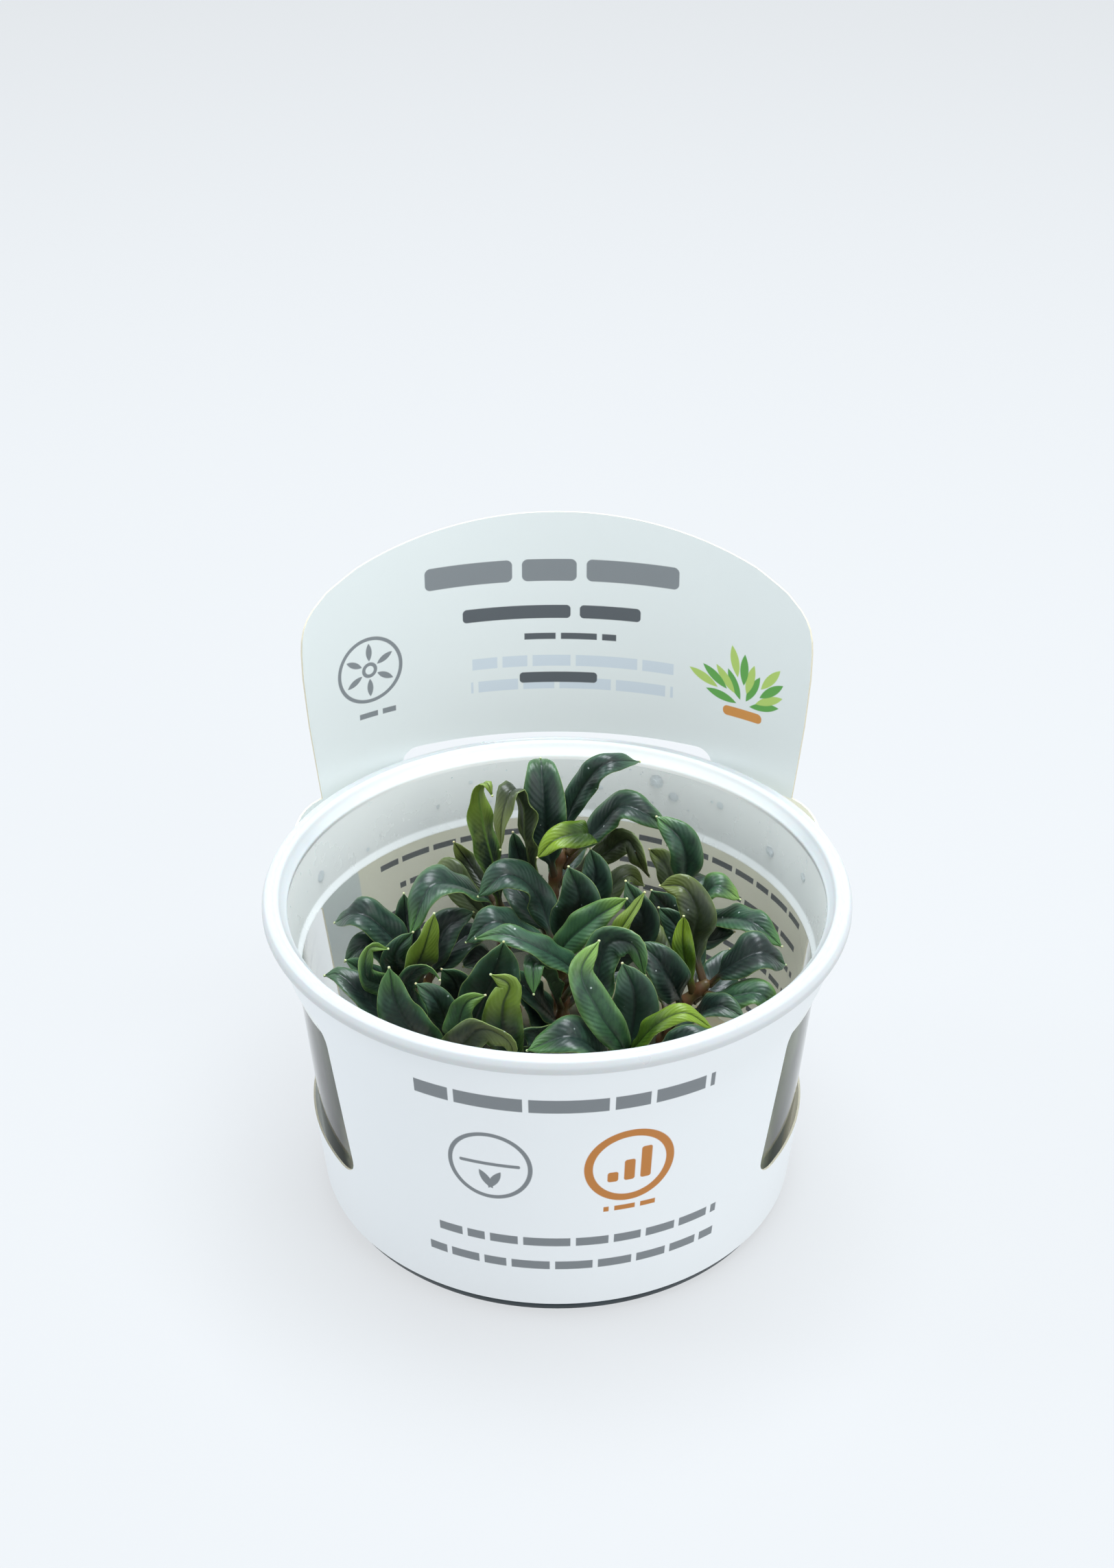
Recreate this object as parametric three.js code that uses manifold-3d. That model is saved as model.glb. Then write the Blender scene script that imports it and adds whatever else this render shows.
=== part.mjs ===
// Needle leaf bucephalandra grown in a clear tissue culture cup with a wrapped label and a tall back tab.
// Millimetres, +Z up, the front of the cup faces -Y, the origin is the middle of the cup's base.
import * as THREE from 'three';
import { mergeVertices } from 'three/addons/utils/BufferGeometryUtils.js';
import Module from 'manifold-3d';

const wasm = await Module();
wasm.setup();

// Cup
const cupHeight = 60.1;
const rimRadius = 50.5;
const rimCrestRadius = 48.7;
const rimSkirtBottom = 57.6;
const baseRadius = 41.5;
const footInnerRadius = 34;
const footWidth = 7;
const footHeight = 0.7;
const wallThickness = 0.9;
const floorTop = 1.9;
const ledgeHeight = 46;
const ledgeRadius = 45.3;
const neckRadius = 47.2;
const neckHeight = 56.6;
const ledgeDepth = 0.8;
const cupSegments = 30;
const gelSegments = 20;

// Label sheet
const sheetThickness = 0.35;
const labelBottom = 2.6;
const labelTop = 56.9;
const labelBottomRadius = 42.3;
const labelTopRadius = 47.8;
const labelSegments = 32;
const tabArcRadius = 64;
const tabArcCentreY = -15;
const tabHalfWidth = 50.3;
const tabHalfWidthAtRim = 47.5;
const tabPeak = 106.9;
const tabTopArcRadius = 119;
const tabShoulderHeight = 88;
const tabBendBottom = 42;
const tabBlendStart = 1.0;
const tabBlendEnd = 1.4;
const slotHalfWidth = 29;
const slotBottom = 55.2;
const slotTop = 61.5;
const slotCorner = 3.1;
const windowFront = -27.5;
const leftWindowBack = 17;
const rightWindowBack = 8;
const windowBottom = 17;
const windowTop = 49.5;
const windowCorner = 4;
const wasteReach = 80;
const cutReach = 60;

// Gel, stems and leaves
const gelTop = 10.4;
const gap = 0.3;
const stemRadius = 1.5;
const stemSteps = 5;
const leafThickness = 0.5;
const petioleWidth = 1.5;
const petioleShare = 0.2;
const tipWidth = 0.5;
const leafFold = 0.22;

function mix(a, b, t) {
  return a + (b - a) * t;
}

function smooth(low, high, value) {
  const t = Math.min(Math.max((value - low) / (high - low), 0), 1);
  return t * t * (3 - 2 * t);
}

// Solids for cutting and joining
function solidOf(geometry) {
  const plain = geometry.clone();
  plain.deleteAttribute('normal');
  plain.deleteAttribute('uv');
  const merged = mergeVertices(plain, 1e-4);
  const mesh = new wasm.Mesh({
    numProp: 3,
    vertProperties: new Float32Array(merged.attributes.position.array),
    triVerts: new Uint32Array(merged.index.array),
  });
  return new wasm.Manifold(mesh);
}

function geometryOf(solid) {
  const mesh = solid.getMesh();
  const geometry = new THREE.BufferGeometry();
  geometry.setAttribute('position', new THREE.BufferAttribute(mesh.vertProperties, 3));
  geometry.setIndex(new THREE.BufferAttribute(mesh.triVerts, 1));
  geometry.computeVertexNormals();
  return geometry;
}

// Turned shape about +Z from a list of [radius, height]
function turned(profile, segments) {
  const points = profile.map(([radius, height]) => new THREE.Vector2(radius, height));
  const geometry = new THREE.LatheGeometry(points, segments);
  geometry.rotateX(Math.PI / 2);
  return geometry;
}

// Moves each point of a geometry with a function of its position
function reshape(geometry, place) {
  const position = geometry.attributes.position;
  const point = new THREE.Vector3();
  for (let i = 0; i < position.count; i += 1) {
    point.fromBufferAttribute(position, i);
    const moved = place(point);
    position.setXYZ(i, moved.x, moved.y, moved.z);
  }
  return geometry;
}

// Cup with a foot ring, a stacking ledge and a rolled rim
function cupGeometry() {
  const ledgeInner = ledgeRadius - wallThickness;
  return turned([
    [0, footHeight],
    [footInnerRadius - 1, footHeight],
    [footInnerRadius, 0],
    [footInnerRadius + footWidth, 0],
    [baseRadius, 1.5],
    [ledgeRadius, ledgeHeight - 1],
    [ledgeRadius + ledgeDepth, ledgeHeight + 0.2],
    [neckRadius, neckHeight],
    [neckRadius + 0.5, neckHeight + 1.6],
    [rimRadius - 0.8, neckHeight + 2],
    [rimRadius - 0.8, rimSkirtBottom],
    [rimRadius, rimSkirtBottom],
    [rimRadius, cupHeight - 1.3],
    [rimRadius - 1.2, cupHeight],
    [rimCrestRadius - 0.3, cupHeight],
    [rimCrestRadius - 1.3, cupHeight - 0.7],
    [neckRadius - wallThickness + 0.1, neckHeight + 0.8],
    [ledgeInner + ledgeDepth, ledgeHeight + 0.6],
    [ledgeInner, ledgeHeight - 0.5],
    [baseRadius - wallThickness, 4.2],
    [baseRadius - 2.6, floorTop],
    [0, floorTop],
  ], cupSegments);
}

// Label: one sheet round the cup whose back rises past the rim as a flatter tab
function sheetPoint(turn, height, offset) {
  const fromBack = Math.abs(turn);
  const share = (height - labelBottom) / (labelTop - labelBottom);
  const coneRadius = mix(labelBottomRadius, labelTopRadius, Math.min(share, 1)) + offset;
  const tabTurn = turn * labelTopRadius / tabArcRadius;
  const tabRadius = tabArcRadius + offset;
  const lift = smooth(tabBendBottom, slotBottom, height) * (1 - smooth(tabBlendStart, tabBlendEnd, fromBack));
  const x = mix(coneRadius * Math.sin(turn), tabRadius * Math.sin(tabTurn), lift);
  const y = mix(coneRadius * Math.cos(turn), tabArcCentreY + tabRadius * Math.cos(tabTurn), lift);
  return new THREE.Vector3(x, y, height);
}

function sheetBand() {
  const bendMiddle = mix(tabBendBottom, slotBottom, 0.5);
  const rows = [labelBottom, tabBendBottom, bendMiddle, slotBottom, labelTop, tabPeak + 1];
  const inner = rows.map((height) => [labelTopRadius, height]);
  const outer = rows.map((height) => [labelTopRadius + 1, height]);
  const ring = turned([...outer, ...inner.reverse(), outer[0]], labelSegments);
  return reshape(ring, (point) => {
    const turn = Math.atan2(point.x, point.y);
    const isOuter = Math.hypot(point.x, point.y) > labelTopRadius + 0.5;
    return sheetPoint(turn, point.z, isOuter ? sheetThickness / 2 : -sheetThickness / 2);
  });
}

function sheetX(alongSheet) {
  return tabArcRadius * Math.sin(alongSheet / tabArcRadius);
}

// Everything above the label's top edge that isn't the tab, as seen from the front
function tabOutline() {
  const edge = [];
  edge.push([tabHalfWidthAtRim, labelTop]);
  edge.push([mix(tabHalfWidthAtRim, tabHalfWidth, 0.7), 73]);
  edge.push([tabHalfWidth, tabShoulderHeight - 5]);
  edge.push([tabHalfWidth, tabShoulderHeight]);
  edge.push([tabHalfWidth - 0.9, tabShoulderHeight + 4.4]);
  edge.push([tabHalfWidth - 3.2, tabShoulderHeight + 7.4]);
  edge.push([tabHalfWidth - 6.3, tabShoulderHeight + 9.8]);
  const arcSteps = 8;
  for (let i = 1; i < arcSteps; i += 1) {
    const along = mix(tabHalfWidth - 10.3, 0, i / arcSteps);
    edge.push([along, tabPeak - tabTopArcRadius + Math.sqrt(tabTopArcRadius ** 2 - along ** 2)]);
  }
  edge.push([0, tabPeak]);
  const left = edge.slice(0, -1).reverse().map(([along, height]) => [-along, height]);
  return [...edge, ...left].map(([along, height]) => new THREE.Vector2(sheetX(along), height));
}

// Block cut out of an outline in X and Z, from one Y to another
function frontPrism(shape, fromY, toY) {
  const options = { depth: toY - fromY, bevelEnabled: false, curveSegments: 6 };
  const prism = new THREE.ExtrudeGeometry(shape, options);
  prism.rotateX(Math.PI / 2);
  prism.translate(0, toY, 0);
  return prism;
}

function roundedShape(left, bottom, right, top, radius) {
  const shape = new THREE.Shape();
  shape.absarc(right - radius, bottom + radius, radius, -Math.PI / 2, 0);
  shape.absarc(right - radius, top - radius, radius, 0, Math.PI / 2);
  shape.absarc(left + radius, top - radius, radius, Math.PI / 2, Math.PI);
  shape.absarc(left + radius, bottom + radius, radius, Math.PI, Math.PI * 1.5);
  return shape;
}

function labelGeometry() {
  const wasteTop = tabPeak + 5;
  const reach = wasteReach;
  const corners = [[-reach, labelTop], [-reach, wasteTop], [reach, wasteTop], [reach, labelTop]];
  const aboveTop = corners.map(([x, height]) => new THREE.Vector2(x, height));
  const frontWaste = frontPrism(new THREE.Shape(aboveTop), -cutReach, 5);
  const tabWaste = frontPrism(new THREE.Shape([...tabOutline(), ...aboveTop]), 4, cutReach);
  const slotShape = roundedShape(-slotHalfWidth, slotBottom, slotHalfWidth, slotTop, slotCorner);
  const slot = frontPrism(slotShape, cutReach / 2, cutReach);
  const leftShape = roundedShape(windowFront, windowBottom, leftWindowBack, windowTop, windowCorner);
  const leftWindow = frontPrism(leftShape, 5, cutReach).rotateZ(Math.PI / 2);
  const rightShape = roundedShape(windowFront, windowBottom, rightWindowBack, windowTop, windowCorner);
  const rightWindow = frontPrism(rightShape, -cutReach, -5).rotateZ(Math.PI / 2);
  let label = solidOf(sheetBand());
  [frontWaste, tabWaste, slot, leftWindow, rightWindow].forEach((cut) => {
    label = label.subtract(solidOf(cut));
  });
  return geometryOf(label);
}

// Nutrient gel with a low meniscus, clear of the cup all round
function gelGeometry() {
  return turned([
    [0, floorTop + gap],
    [baseRadius - 3, floorTop + gap],
    [baseRadius - 1.4, 4.4],
    [baseRadius - 0.9, gelTop + 0.7],
    [baseRadius - 2.4, gelTop],
    [0, gelTop],
  ], gelSegments);
}

// Frame along a centre line: its point, its direction, its side and its upper face
function ribbonFrame(curve, along, faces) {
  const centre = curve.getPointAt(along);
  const forward = curve.getTangentAt(along);
  const face = new THREE.Vector3(...faces[0]).normalize();
  face.lerp(new THREE.Vector3(...faces[1]).normalize(), along);
  const side = new THREE.Vector3().crossVectors(face, forward).normalize();
  const top = new THREE.Vector3().crossVectors(forward, side);
  return { centre, side, top };
}

// Half width of a leaf at a share of its length: a narrow stalk, then a lance-shaped blade
function leafHalfWidth(along, width) {
  const blade = Math.max((along - petioleShare) / (1 - petioleShare), 0);
  const bulge = Math.sin(Math.PI * blade ** 0.85) ** 0.75;
  const stalk = mix(petioleWidth, tipWidth, along) / 2;
  return stalk + (width / 2 - stalk) * bulge;
}

// Folded blade along its path, with as many steps as the path has points
function leafGeometry({ path, face, width }) {
  const curve = new THREE.CatmullRomCurve3(path.map((point) => new THREE.Vector3(...point)));
  const slab = new THREE.BoxGeometry(1, 1, 1, path.length, 2, 1);
  return reshape(slab, (point) => {
    const along = point.x + 0.5;
    const frame = ribbonFrame(curve, along, face);
    const half = leafHalfWidth(along, width);
    const across = point.y * 2 * half;
    const lift = Math.abs(across) * leafFold + point.z * leafThickness;
    return frame.centre.clone().addScaledVector(frame.side, across).addScaledVector(frame.top, lift);
  });
}

// Shoots: an upright stem from the gel, its leaves, and the young or low leaves fused to the stem
const lookUp = [[0, -0.3, 1], [0, -0.5, 1]];
const lookFront = [[0, -1, 0.2], [0, -1, 0.3]];

const shoots = [
  {
    name: 'back',
    path: [[1, 13, 12], [0, 17, 28], [-1, 21, 42], [1, 25, 51]],
    leaves: [
      {
        path: [[0, 22, 44], [-2, 22, 55], [-2.5, 23, 64], [-2.8, 25.5, 68], [-3, 29.5, 67]],
        face: [[0, -1, 0.1], [0, 0.1, 1]], width: 8, tone: 'mid',
      },
      {
        path: [[1, 25, 49], [2, 27, 56], [5, 27, 63], [9, 26, 68], [15, 30, 66]],
        face: [[0, -1, 0.3], [-0.3, -0.6, 1]], width: 5, tone: 'dark',
      },
      {
        path: [[1, 24, 47], [8, 27, 54], [12, 26, 59], [16, 25, 58], [20, 26, 54]],
        face: [[-0.6, -0.6, 1], [0, -0.3, 0.6]], width: 6.5, tone: 'mid',
      },
      {
        path: [[0, 23, 44], [9, 26, 49], [13, 24, 53], [15, 22, 50], [17, 24, 45]],
        face: [[-0.6, -1, 0.3], [-0.6, -0.6, 0]], width: 5, tone: 'olive',
      },
      {
        path: [[2, 24, 50], [5.5, 23, 54.5], [4.5, 19, 57.5], [-0.5, 16, 58], [-3.5, 15, 55]],
        face: [[0.6, 0.4, 0], [-0.3, -1, 1]], width: 5.5, tone: 'young',
      },
      {
        path: [[-2, 20, 41], [-5.5, 19, 56], [-6, 18, 64.5], [-8, 16, 68.5], [-9.5, 14, 65], [-10, 13, 58]],
        face: [[0.7, 0.6, 0.2], [-0.4, -0.4, 1]], width: 5, tone: 'olive',
      },
      {
        path: [[-1, 20, 40], [6, 17, 45], [7, 17, 50], [6, 18, 55]],
        face: lookFront, width: 6.5, tone: 'dark',
      },
      {
        path: [[-1, 21, 41], [2, 30, 46], [4, 38, 42]],
        face: [[0, 0, 1], [0, 0.3, 1]], width: 6.5, tone: 'dark',
      },
    ],
    fused: [
      { path: [[0, 19, 36], [8, 21, 42], [13, 23, 46], [16, 24, 43]], face: lookUp, width: 5 },
      { path: [[-1, 19, 34], [-6, 23, 41], [-10, 27, 43]], face: lookUp, width: 7 },
      { path: [[-1, 20.5, 39], [-6, 23, 47], [-8, 23.5, 55]], face: lookFront, width: 4.5 },
    ],
  },
  {
    name: 'back_left',
    path: [[-7, 14, 12], [-9, 18, 28], [-11, 21, 42]],
    leaves: [
      {
        path: [
          [-10, 19.5, 37], [-11.5, 20, 49], [-13.5, 21, 59],
          [-14, 21, 65.5], [-12.5, 20, 67.5], [-11.5, 19, 65.5],
        ],
        face: [[-0.7, 0.7, -0.2], [-0.2, 0.2, 1]], width: 5.5, tone: 'young',
      },
      {
        path: [[-10, 20, 34], [-17, 21, 43], [-20, 23, 47], [-24, 25, 44]],
        face: lookUp, width: 5.5, tone: 'olive',
      },
      {
        path: [[-10, 20, 36], [-15, 14, 48], [-22, 9, 53], [-26, 5, 45]],
        face: [[0.6, 0.4, 0], [-0.6, -0.6, 1]], width: 8, tone: 'mid',
      },
      {
        path: [[-10, 19, 33], [-15, 28, 41], [-19, 34, 41]],
        face: [[0, 0, 1], [-0.2, 0.3, 1]], width: 6.5, tone: 'dark',
      },
    ],
    fused: [
      { path: [[-11, 21, 41], [-16, 27, 45.5], [-19, 28, 50]], face: lookFront, width: 4 },
      { path: [[-9, 18, 28], [-14, 14, 33], [-17, 11, 34]], face: lookUp, width: 7 },
    ],
  },
  {
    name: 'left',
    path: [[-15, 6, 12], [-21, 7, 22], [-25, 8, 34]],
    leaves: [
      {
        path: [[-25, 8, 33], [-29, 9, 41], [-35, 9, 47], [-40, 12, 43]],
        face: lookUp, width: 7, tone: 'dark',
      },
      {
        path: [[-24, 8, 31], [-25, -1, 41], [-23, -4, 49], [-21, -4, 56]],
        face: [[0.5, -0.9, 0.1], [0.5, -0.9, 0.3]], width: 6.5, tone: 'young',
      },
      {
        path: [[-25, 8, 32], [-28, 2, 40], [-28, -1, 46], [-25, -1, 50]],
        face: lookFront, width: 5.5, tone: 'dark',
      },
      {
        path: [[-24, 5.5, 29.5], [-30, -3, 40], [-33, -8, 46], [-32, -7, 51], [-29, -6, 50]],
        face: [[0.6, -0.6, 0.3], [0.6, -0.6, 0]], width: 4, tone: 'light',
      },
      {
        path: [[-22, 7, 25], [-28, -4, 32], [-34.5, -6, 41], [-38, -4.5, 43.5], [-40.5, -3.5, 42.5]],
        face: [[1, 0, 0.6], [0.3, -0.4, 1]], width: 8, tone: 'dark',
      },
    ],
    fused: [
      { path: [[-25, 8, 30], [-30, 9, 37], [-34, 8, 41], [-38, 7, 38]], face: lookUp, width: 6 },
      { path: [[-24, 7, 28], [-31, 3, 36], [-37, -1, 44]], face: lookUp, width: 5.5 },
      { path: [[-24, 8, 32], [-18, 13, 38], [-13, 18, 38]], face: lookUp, width: 7 },
      {
        path: [[-23.5, 8, 32], [-20, 11, 42.5], [-15, 12.5, 45]],
        face: [[-0.3, -1, 1], [-0.3, -0.6, 1]], width: 7,
      },
      { path: [[-24, 8, 30], [-27, 13, 40], [-27.5, 14, 48]], face: lookFront, width: 5 },
    ],
  },
  {
    name: 'front_left',
    path: [[-11, -4, 12], [-15, -8, 20], [-18, -10, 31]],
    leaves: [
      {
        path: [[-17, -10, 27], [-23, -15, 37], [-27, -17, 46], [-28, -17, 54]],
        face: lookFront, width: 8, tone: 'mid',
      },
      {
        path: [[-17, -10, 28], [-19, -11, 38], [-21, -12, 44], [-24, -12, 47]],
        face: [[-0.2, -0.6, 1], [-0.2, -0.6, 1]], width: 6, tone: 'dark',
      },
      {
        path: [[-17, -9, 28], [-14, -8, 37], [-11, -9, 46], [-9, -11, 55]],
        face: [[0.2, -1, 0.4], [0.2, -1, 0.4]], width: 10, tone: 'dark',
      },
      {
        path: [[-17, -10, 28], [-17, -15, 39], [-15, -17, 47], [-12, -18, 49]],
        face: [[-0.6, -1, -0.5], [-0.3, -0.6, 0]], width: 5, tone: 'light',
      },
      {
        path: [[-16, -9, 23], [-18, -20, 37], [-12, -26, 48], [-8, -28, 47], [-7, -28, 43]],
        face: [[-1, -1, -0.5], [-0.3, -0.6, 0]], width: 6, tone: 'olive',
      },
    ],
    fused: [
      {
        path: [[-18, -10, 30], [-26, -7, 43], [-22, -10, 49], [-20, -11, 47]],
        face: [[0.3, -1, 0.3], [-0.6, -1, -0.5]], width: 3.5,
      },
      { path: [[-16, -8, 22], [-22, -9, 28], [-28, -9, 30]], face: lookUp, width: 7 },
      { path: [[-17, -9, 26], [-17, -3, 36], [-18, -4, 42], [-20, -5, 45]], face: lookFront, width: 8 },
    ],
  },
  {
    name: 'front',
    path: [[-3, -6, 12], [-5, -10, 20], [-6, -12, 32]],
    leaves: [
      {
        path: [[-6, -12, 28], [-9, -17, 40], [-9, -19, 48], [-8, -19, 52], [-11, -19, 54]],
        face: [[0, -1, 0], [0, -1, 0]], width: 7, tone: 'young',
      },
    ],
    fused: [
      { path: [[-6, -12, 25], [-6, -18, 32], [-3, -23, 37]], face: lookUp, width: 6 },
      {
        path: [[-6, -12, 30], [-3, -14, 38], [-6, -17, 41]],
        face: [[0.6, -1, -0.5], [0.6, -1, -0.5]], width: 6,
      },
      { path: [[-5, -11, 22], [0, -15, 28], [4, -19, 30]], face: lookUp, width: 7 },
    ],
  },
  {
    name: 'front_right',
    path: [[6, -8, 12], [9, -13, 20], [11, -15, 33]],
    leaves: [
      {
        path: [[11, -15, 31], [13, -14, 40], [13, -14, 47], [11, -13, 52]],
        face: lookFront, width: 8.5, tone: 'dark',
      },
      {
        path: [[11, -15, 32], [11, -19, 39], [7, -20, 47], [4, -18, 54], [7, -15, 58]],
        face: [[0.3, -1, 0.3], [0.2, -0.8, 0.8]], width: 6, tone: 'light',
      },
      {
        path: [[11, -15, 30], [13, -20, 39], [17, -23, 47], [21, -23, 49], [26, -22, 45]],
        face: lookUp, width: 4.2, tone: 'young',
      },
      {
        path: [[10, -14, 26], [18, -19, 36], [23, -20, 42], [28, -19, 40]],
        face: lookUp, width: 6, tone: 'dark',
      },
      {
        path: [[10, -14, 28], [7, -8, 42], [9, -7, 52], [13, -9, 53], [15, -11, 48]],
        face: [[-0.6, -1, 0], [-0.6, -1, 0.3]], width: 7, tone: 'mid',
      },
      {
        path: [[10, -14, 27], [7, -21, 39], [2, -24, 45], [-5, -24, 42]],
        face: [[1, 0, 0.3], [0.3, -0.3, 1]], width: 8.5, tone: 'mid',
      },
    ],
    fused: [],
  },
  {
    name: 'centre',
    path: [[1, 2, 12], [1, 5, 25], [1, 8, 38]],
    leaves: [
      { path: [[1, 8, 37], [2, 8, 45], [4, 6, 52], [2, 6, 59]], face: lookFront, width: 8.5, tone: 'dark' },
      {
        path: [[1, 8, 35], [1, 4, 43], [6, 1, 51], [12, -1, 57]],
        face: [[-0.3, -0.8, 0.8], [-0.3, -0.8, 0.8]], width: 6, tone: 'light',
      },
      {
        path: [[1, 7, 33], [7, -1, 44], [11, -3, 52], [15, -2, 59]],
        face: [[-1, -0.6, 0], [-1, -1, 0.6]], width: 4, tone: 'young',
      },
      { path: [[1, 7, 32], [-5, 7, 42], [-11, 2, 50], [-16, 3, 45]], face: lookUp, width: 8, tone: 'dark' },
      {
        path: [[0, 9.5, 37], [-3.5, 14, 47], [-9, 11, 54], [-14, 10, 50]],
        face: lookUp, width: 7.5, tone: 'dark',
      },
      {
        path: [[1, 6, 30], [3, -2, 42], [-3, -6, 50], [-9, -6, 53], [-14, -3, 50]],
        face: [[1, -0.3, 0.3], [-0.3, -0.3, 1]], width: 5.5, tone: 'mid',
      },
      {
        path: [[1, 6, 28], [-2, -2, 42], [-4, -8, 48], [-4, -11, 44]],
        face: [[0.3, 0.4, 0], [0, -0.3, 1]], width: 5.5, tone: 'mid',
      },
      {
        path: [[1, 7, 30], [10, 7, 40], [15, 5, 48], [12, 6, 56]],
        face: lookFront, width: 7.5, tone: 'dark',
      },
    ],
    fused: [
      { path: [[1, 4, 21], [-4, 2, 32], [-7, 1, 38]], face: lookUp, width: 7 },
      { path: [[1, 3, 17], [-5, -2, 26], [-10, -5, 29]], face: lookUp, width: 8 },
      { path: [[1, 4, 21], [7, -1, 29], [11, -5, 32]], face: lookUp, width: 8 },
      { path: [[1, 6, 28], [8, 10, 33], [13, 12, 34]], face: lookUp, width: 7 },
      { path: [[1, 5, 24], [-4, -1, 36], [-8, -3, 43]], face: [[0.3, 0, 0.6], [1, -0.6, 0.6]], width: 7 },
    ],
  },
  {
    name: 'right',
    path: [[13, 3, 12], [18, 1, 22], [22, -1, 34], [27, 0, 39]],
    leaves: [
      {
        path: [[26, 0, 38], [24, 3, 45], [24.5, 3, 51], [22, 4, 56], [18, 6, 55]],
        face: [[0.1, -0.9, 0.6], [0.1, -0.9, 0.6]], width: 6.5, tone: 'olive',
      },
      {
        path: [[27, 0, 38], [30, -2, 43], [35, -3, 47], [40, -1, 43]],
        face: lookUp, width: 8, tone: 'dark',
      },
      {
        path: [[26, -0.5, 36.5], [30, -7, 40.5], [35, -9, 42.5], [38, -10, 38.5]],
        face: lookUp, width: 6, tone: 'light',
      },
      {
        path: [[22, -1, 34], [20, -5, 42], [17, -6, 48], [14, -4, 50]],
        face: [[0.6, -1, 0.3], [0.3, -0.6, 0.3]], width: 7.5, tone: 'dark',
      },
      {
        path: [[24, 0, 36], [24, 6, 40], [21, 7, 46], [18, 8, 49]],
        face: [[0, -0.8, 0.6], [0, -0.8, 0.6]], width: 6, tone: 'dark',
      },
      {
        path: [[20, 0, 30], [18, 8, 36], [17, 12, 41], [15, 14, 41]],
        face: lookUp, width: 7, tone: 'olive',
      },
      {
        path: [[20, 0, 27], [24, -8, 37], [28, -13, 43], [32, -15, 42]],
        face: lookUp, width: 7, tone: 'dark',
      },
    ],
    fused: [
      { path: [[24, -1, 37], [22, 0, 46], [22, 1, 52]], face: lookFront, width: 4 },
      { path: [[19, 1, 24], [28, -6, 29], [35, -10, 30]], face: lookUp, width: 5 },
      { path: [[18, 1, 22], [13, -5, 27], [10, -8, 28]], face: lookUp, width: 7 },
      { path: [[24, -1, 35], [28.5, 3, 36.5], [31, 8, 40]], face: lookUp, width: 7 },
    ],
  },
  {
    name: 'back_right',
    path: [[11, 12, 12], [18, 18, 22], [21, 21, 36], [22, 22, 42]],
    leaves: [
      {
        path: [[22, 22, 41], [23.5, 23, 45], [22.5, 22, 54], [18, 24, 58]],
        face: [[0.2, -0.9, 0.6], [0.2, -0.9, 0.6]], width: 6.5, tone: 'mid',
      },
      {
        path: [[22, 22, 39], [26, 17, 45], [29, 15, 49], [33, 15, 46]],
        face: lookUp, width: 6, tone: 'light',
      },
      {
        path: [[22, 21, 36], [29, 16, 41], [35, 9, 45], [40, 6, 42]],
        face: lookUp, width: 6.5, tone: 'mid',
      },
      {
        path: [[21, 21, 34], [25, 29, 41], [28, 33, 39]],
        face: [[0, 0, 1], [0.2, 0.3, 1]], width: 6.5, tone: 'dark',
      },
    ],
    fused: [
      { path: [[22, 22, 40], [20, 26, 46], [17, 27, 49]], face: lookUp, width: 5 },
      { path: [[21, 21, 33], [28, 15, 37], [32, 12, 41]], face: lookUp, width: 5 },
      { path: [[20, 20, 33], [20, 17, 42], [17, 15, 48]], face: lookFront, width: 6 },
    ],
  },
];

function stemSolid({ path }, radius) {
  const section = new THREE.Shape();
  section.absarc(0, 0, radius, 0, Math.PI * 2);
  const curve = new THREE.CatmullRomCurve3(path.map((point) => new THREE.Vector3(...point)));
  const options = { extrudePath: curve, steps: stemSteps, curveSegments: 4, bevelEnabled: false };
  return solidOf(new THREE.ExtrudeGeometry(section, options));
}

function paint(color, roughness, opacity = 1) {
  const transparent = opacity < 1;
  return new THREE.MeshStandardMaterial({ color, roughness, metalness: 0, transparent, opacity });
}

const clearPlastic = paint(0xe8eef0, 0.2, 0.45);
const whiteSheet = paint(0xdfe3e6, 0.5);
const paleGel = paint(0xd8d2b8, 0.3, 0.7);
const stemBrown = paint(0x6b4a2a, 0.5);
const leafPaints = {
  dark: paint(0x1a3124, 0.3),
  mid: paint(0x26482b, 0.3),
  light: paint(0x3c6a38, 0.35),
  olive: paint(0x4c5830, 0.4),
  young: paint(0x7a962c, 0.35),
};

const group = new THREE.Group();

function add(name, geometry, finish) {
  const mesh = new THREE.Mesh(geometry, finish.clone());
  mesh.name = name;
  group.add(mesh);
}

add('cup', cupGeometry(), clearPlastic);
add('label', labelGeometry(), whiteSheet);
add('gel', gelGeometry(), paleGel);
shoots.forEach((shoot) => {
  const clearance = stemSolid(shoot, stemRadius + gap);
  let stem = stemSolid(shoot, stemRadius);
  shoot.fused.forEach((leaf) => {
    stem = stem.add(solidOf(leafGeometry(leaf)));
  });
  add(`stem_${shoot.name}`, geometryOf(stem), stemBrown);
  shoot.leaves.forEach((leaf, i) => {
    const blade = solidOf(leafGeometry(leaf)).subtract(clearance);
    add(`leaf_${shoot.name}_${i + 1}`, geometryOf(blade), leafPaints[leaf.tone]);
  });
});

export default group;
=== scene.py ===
# Needle leaf bucephalandra in its culture cup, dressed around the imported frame
import math
import random

import bmesh
import bpy
from mathutils import Matrix, Vector, noise


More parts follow.
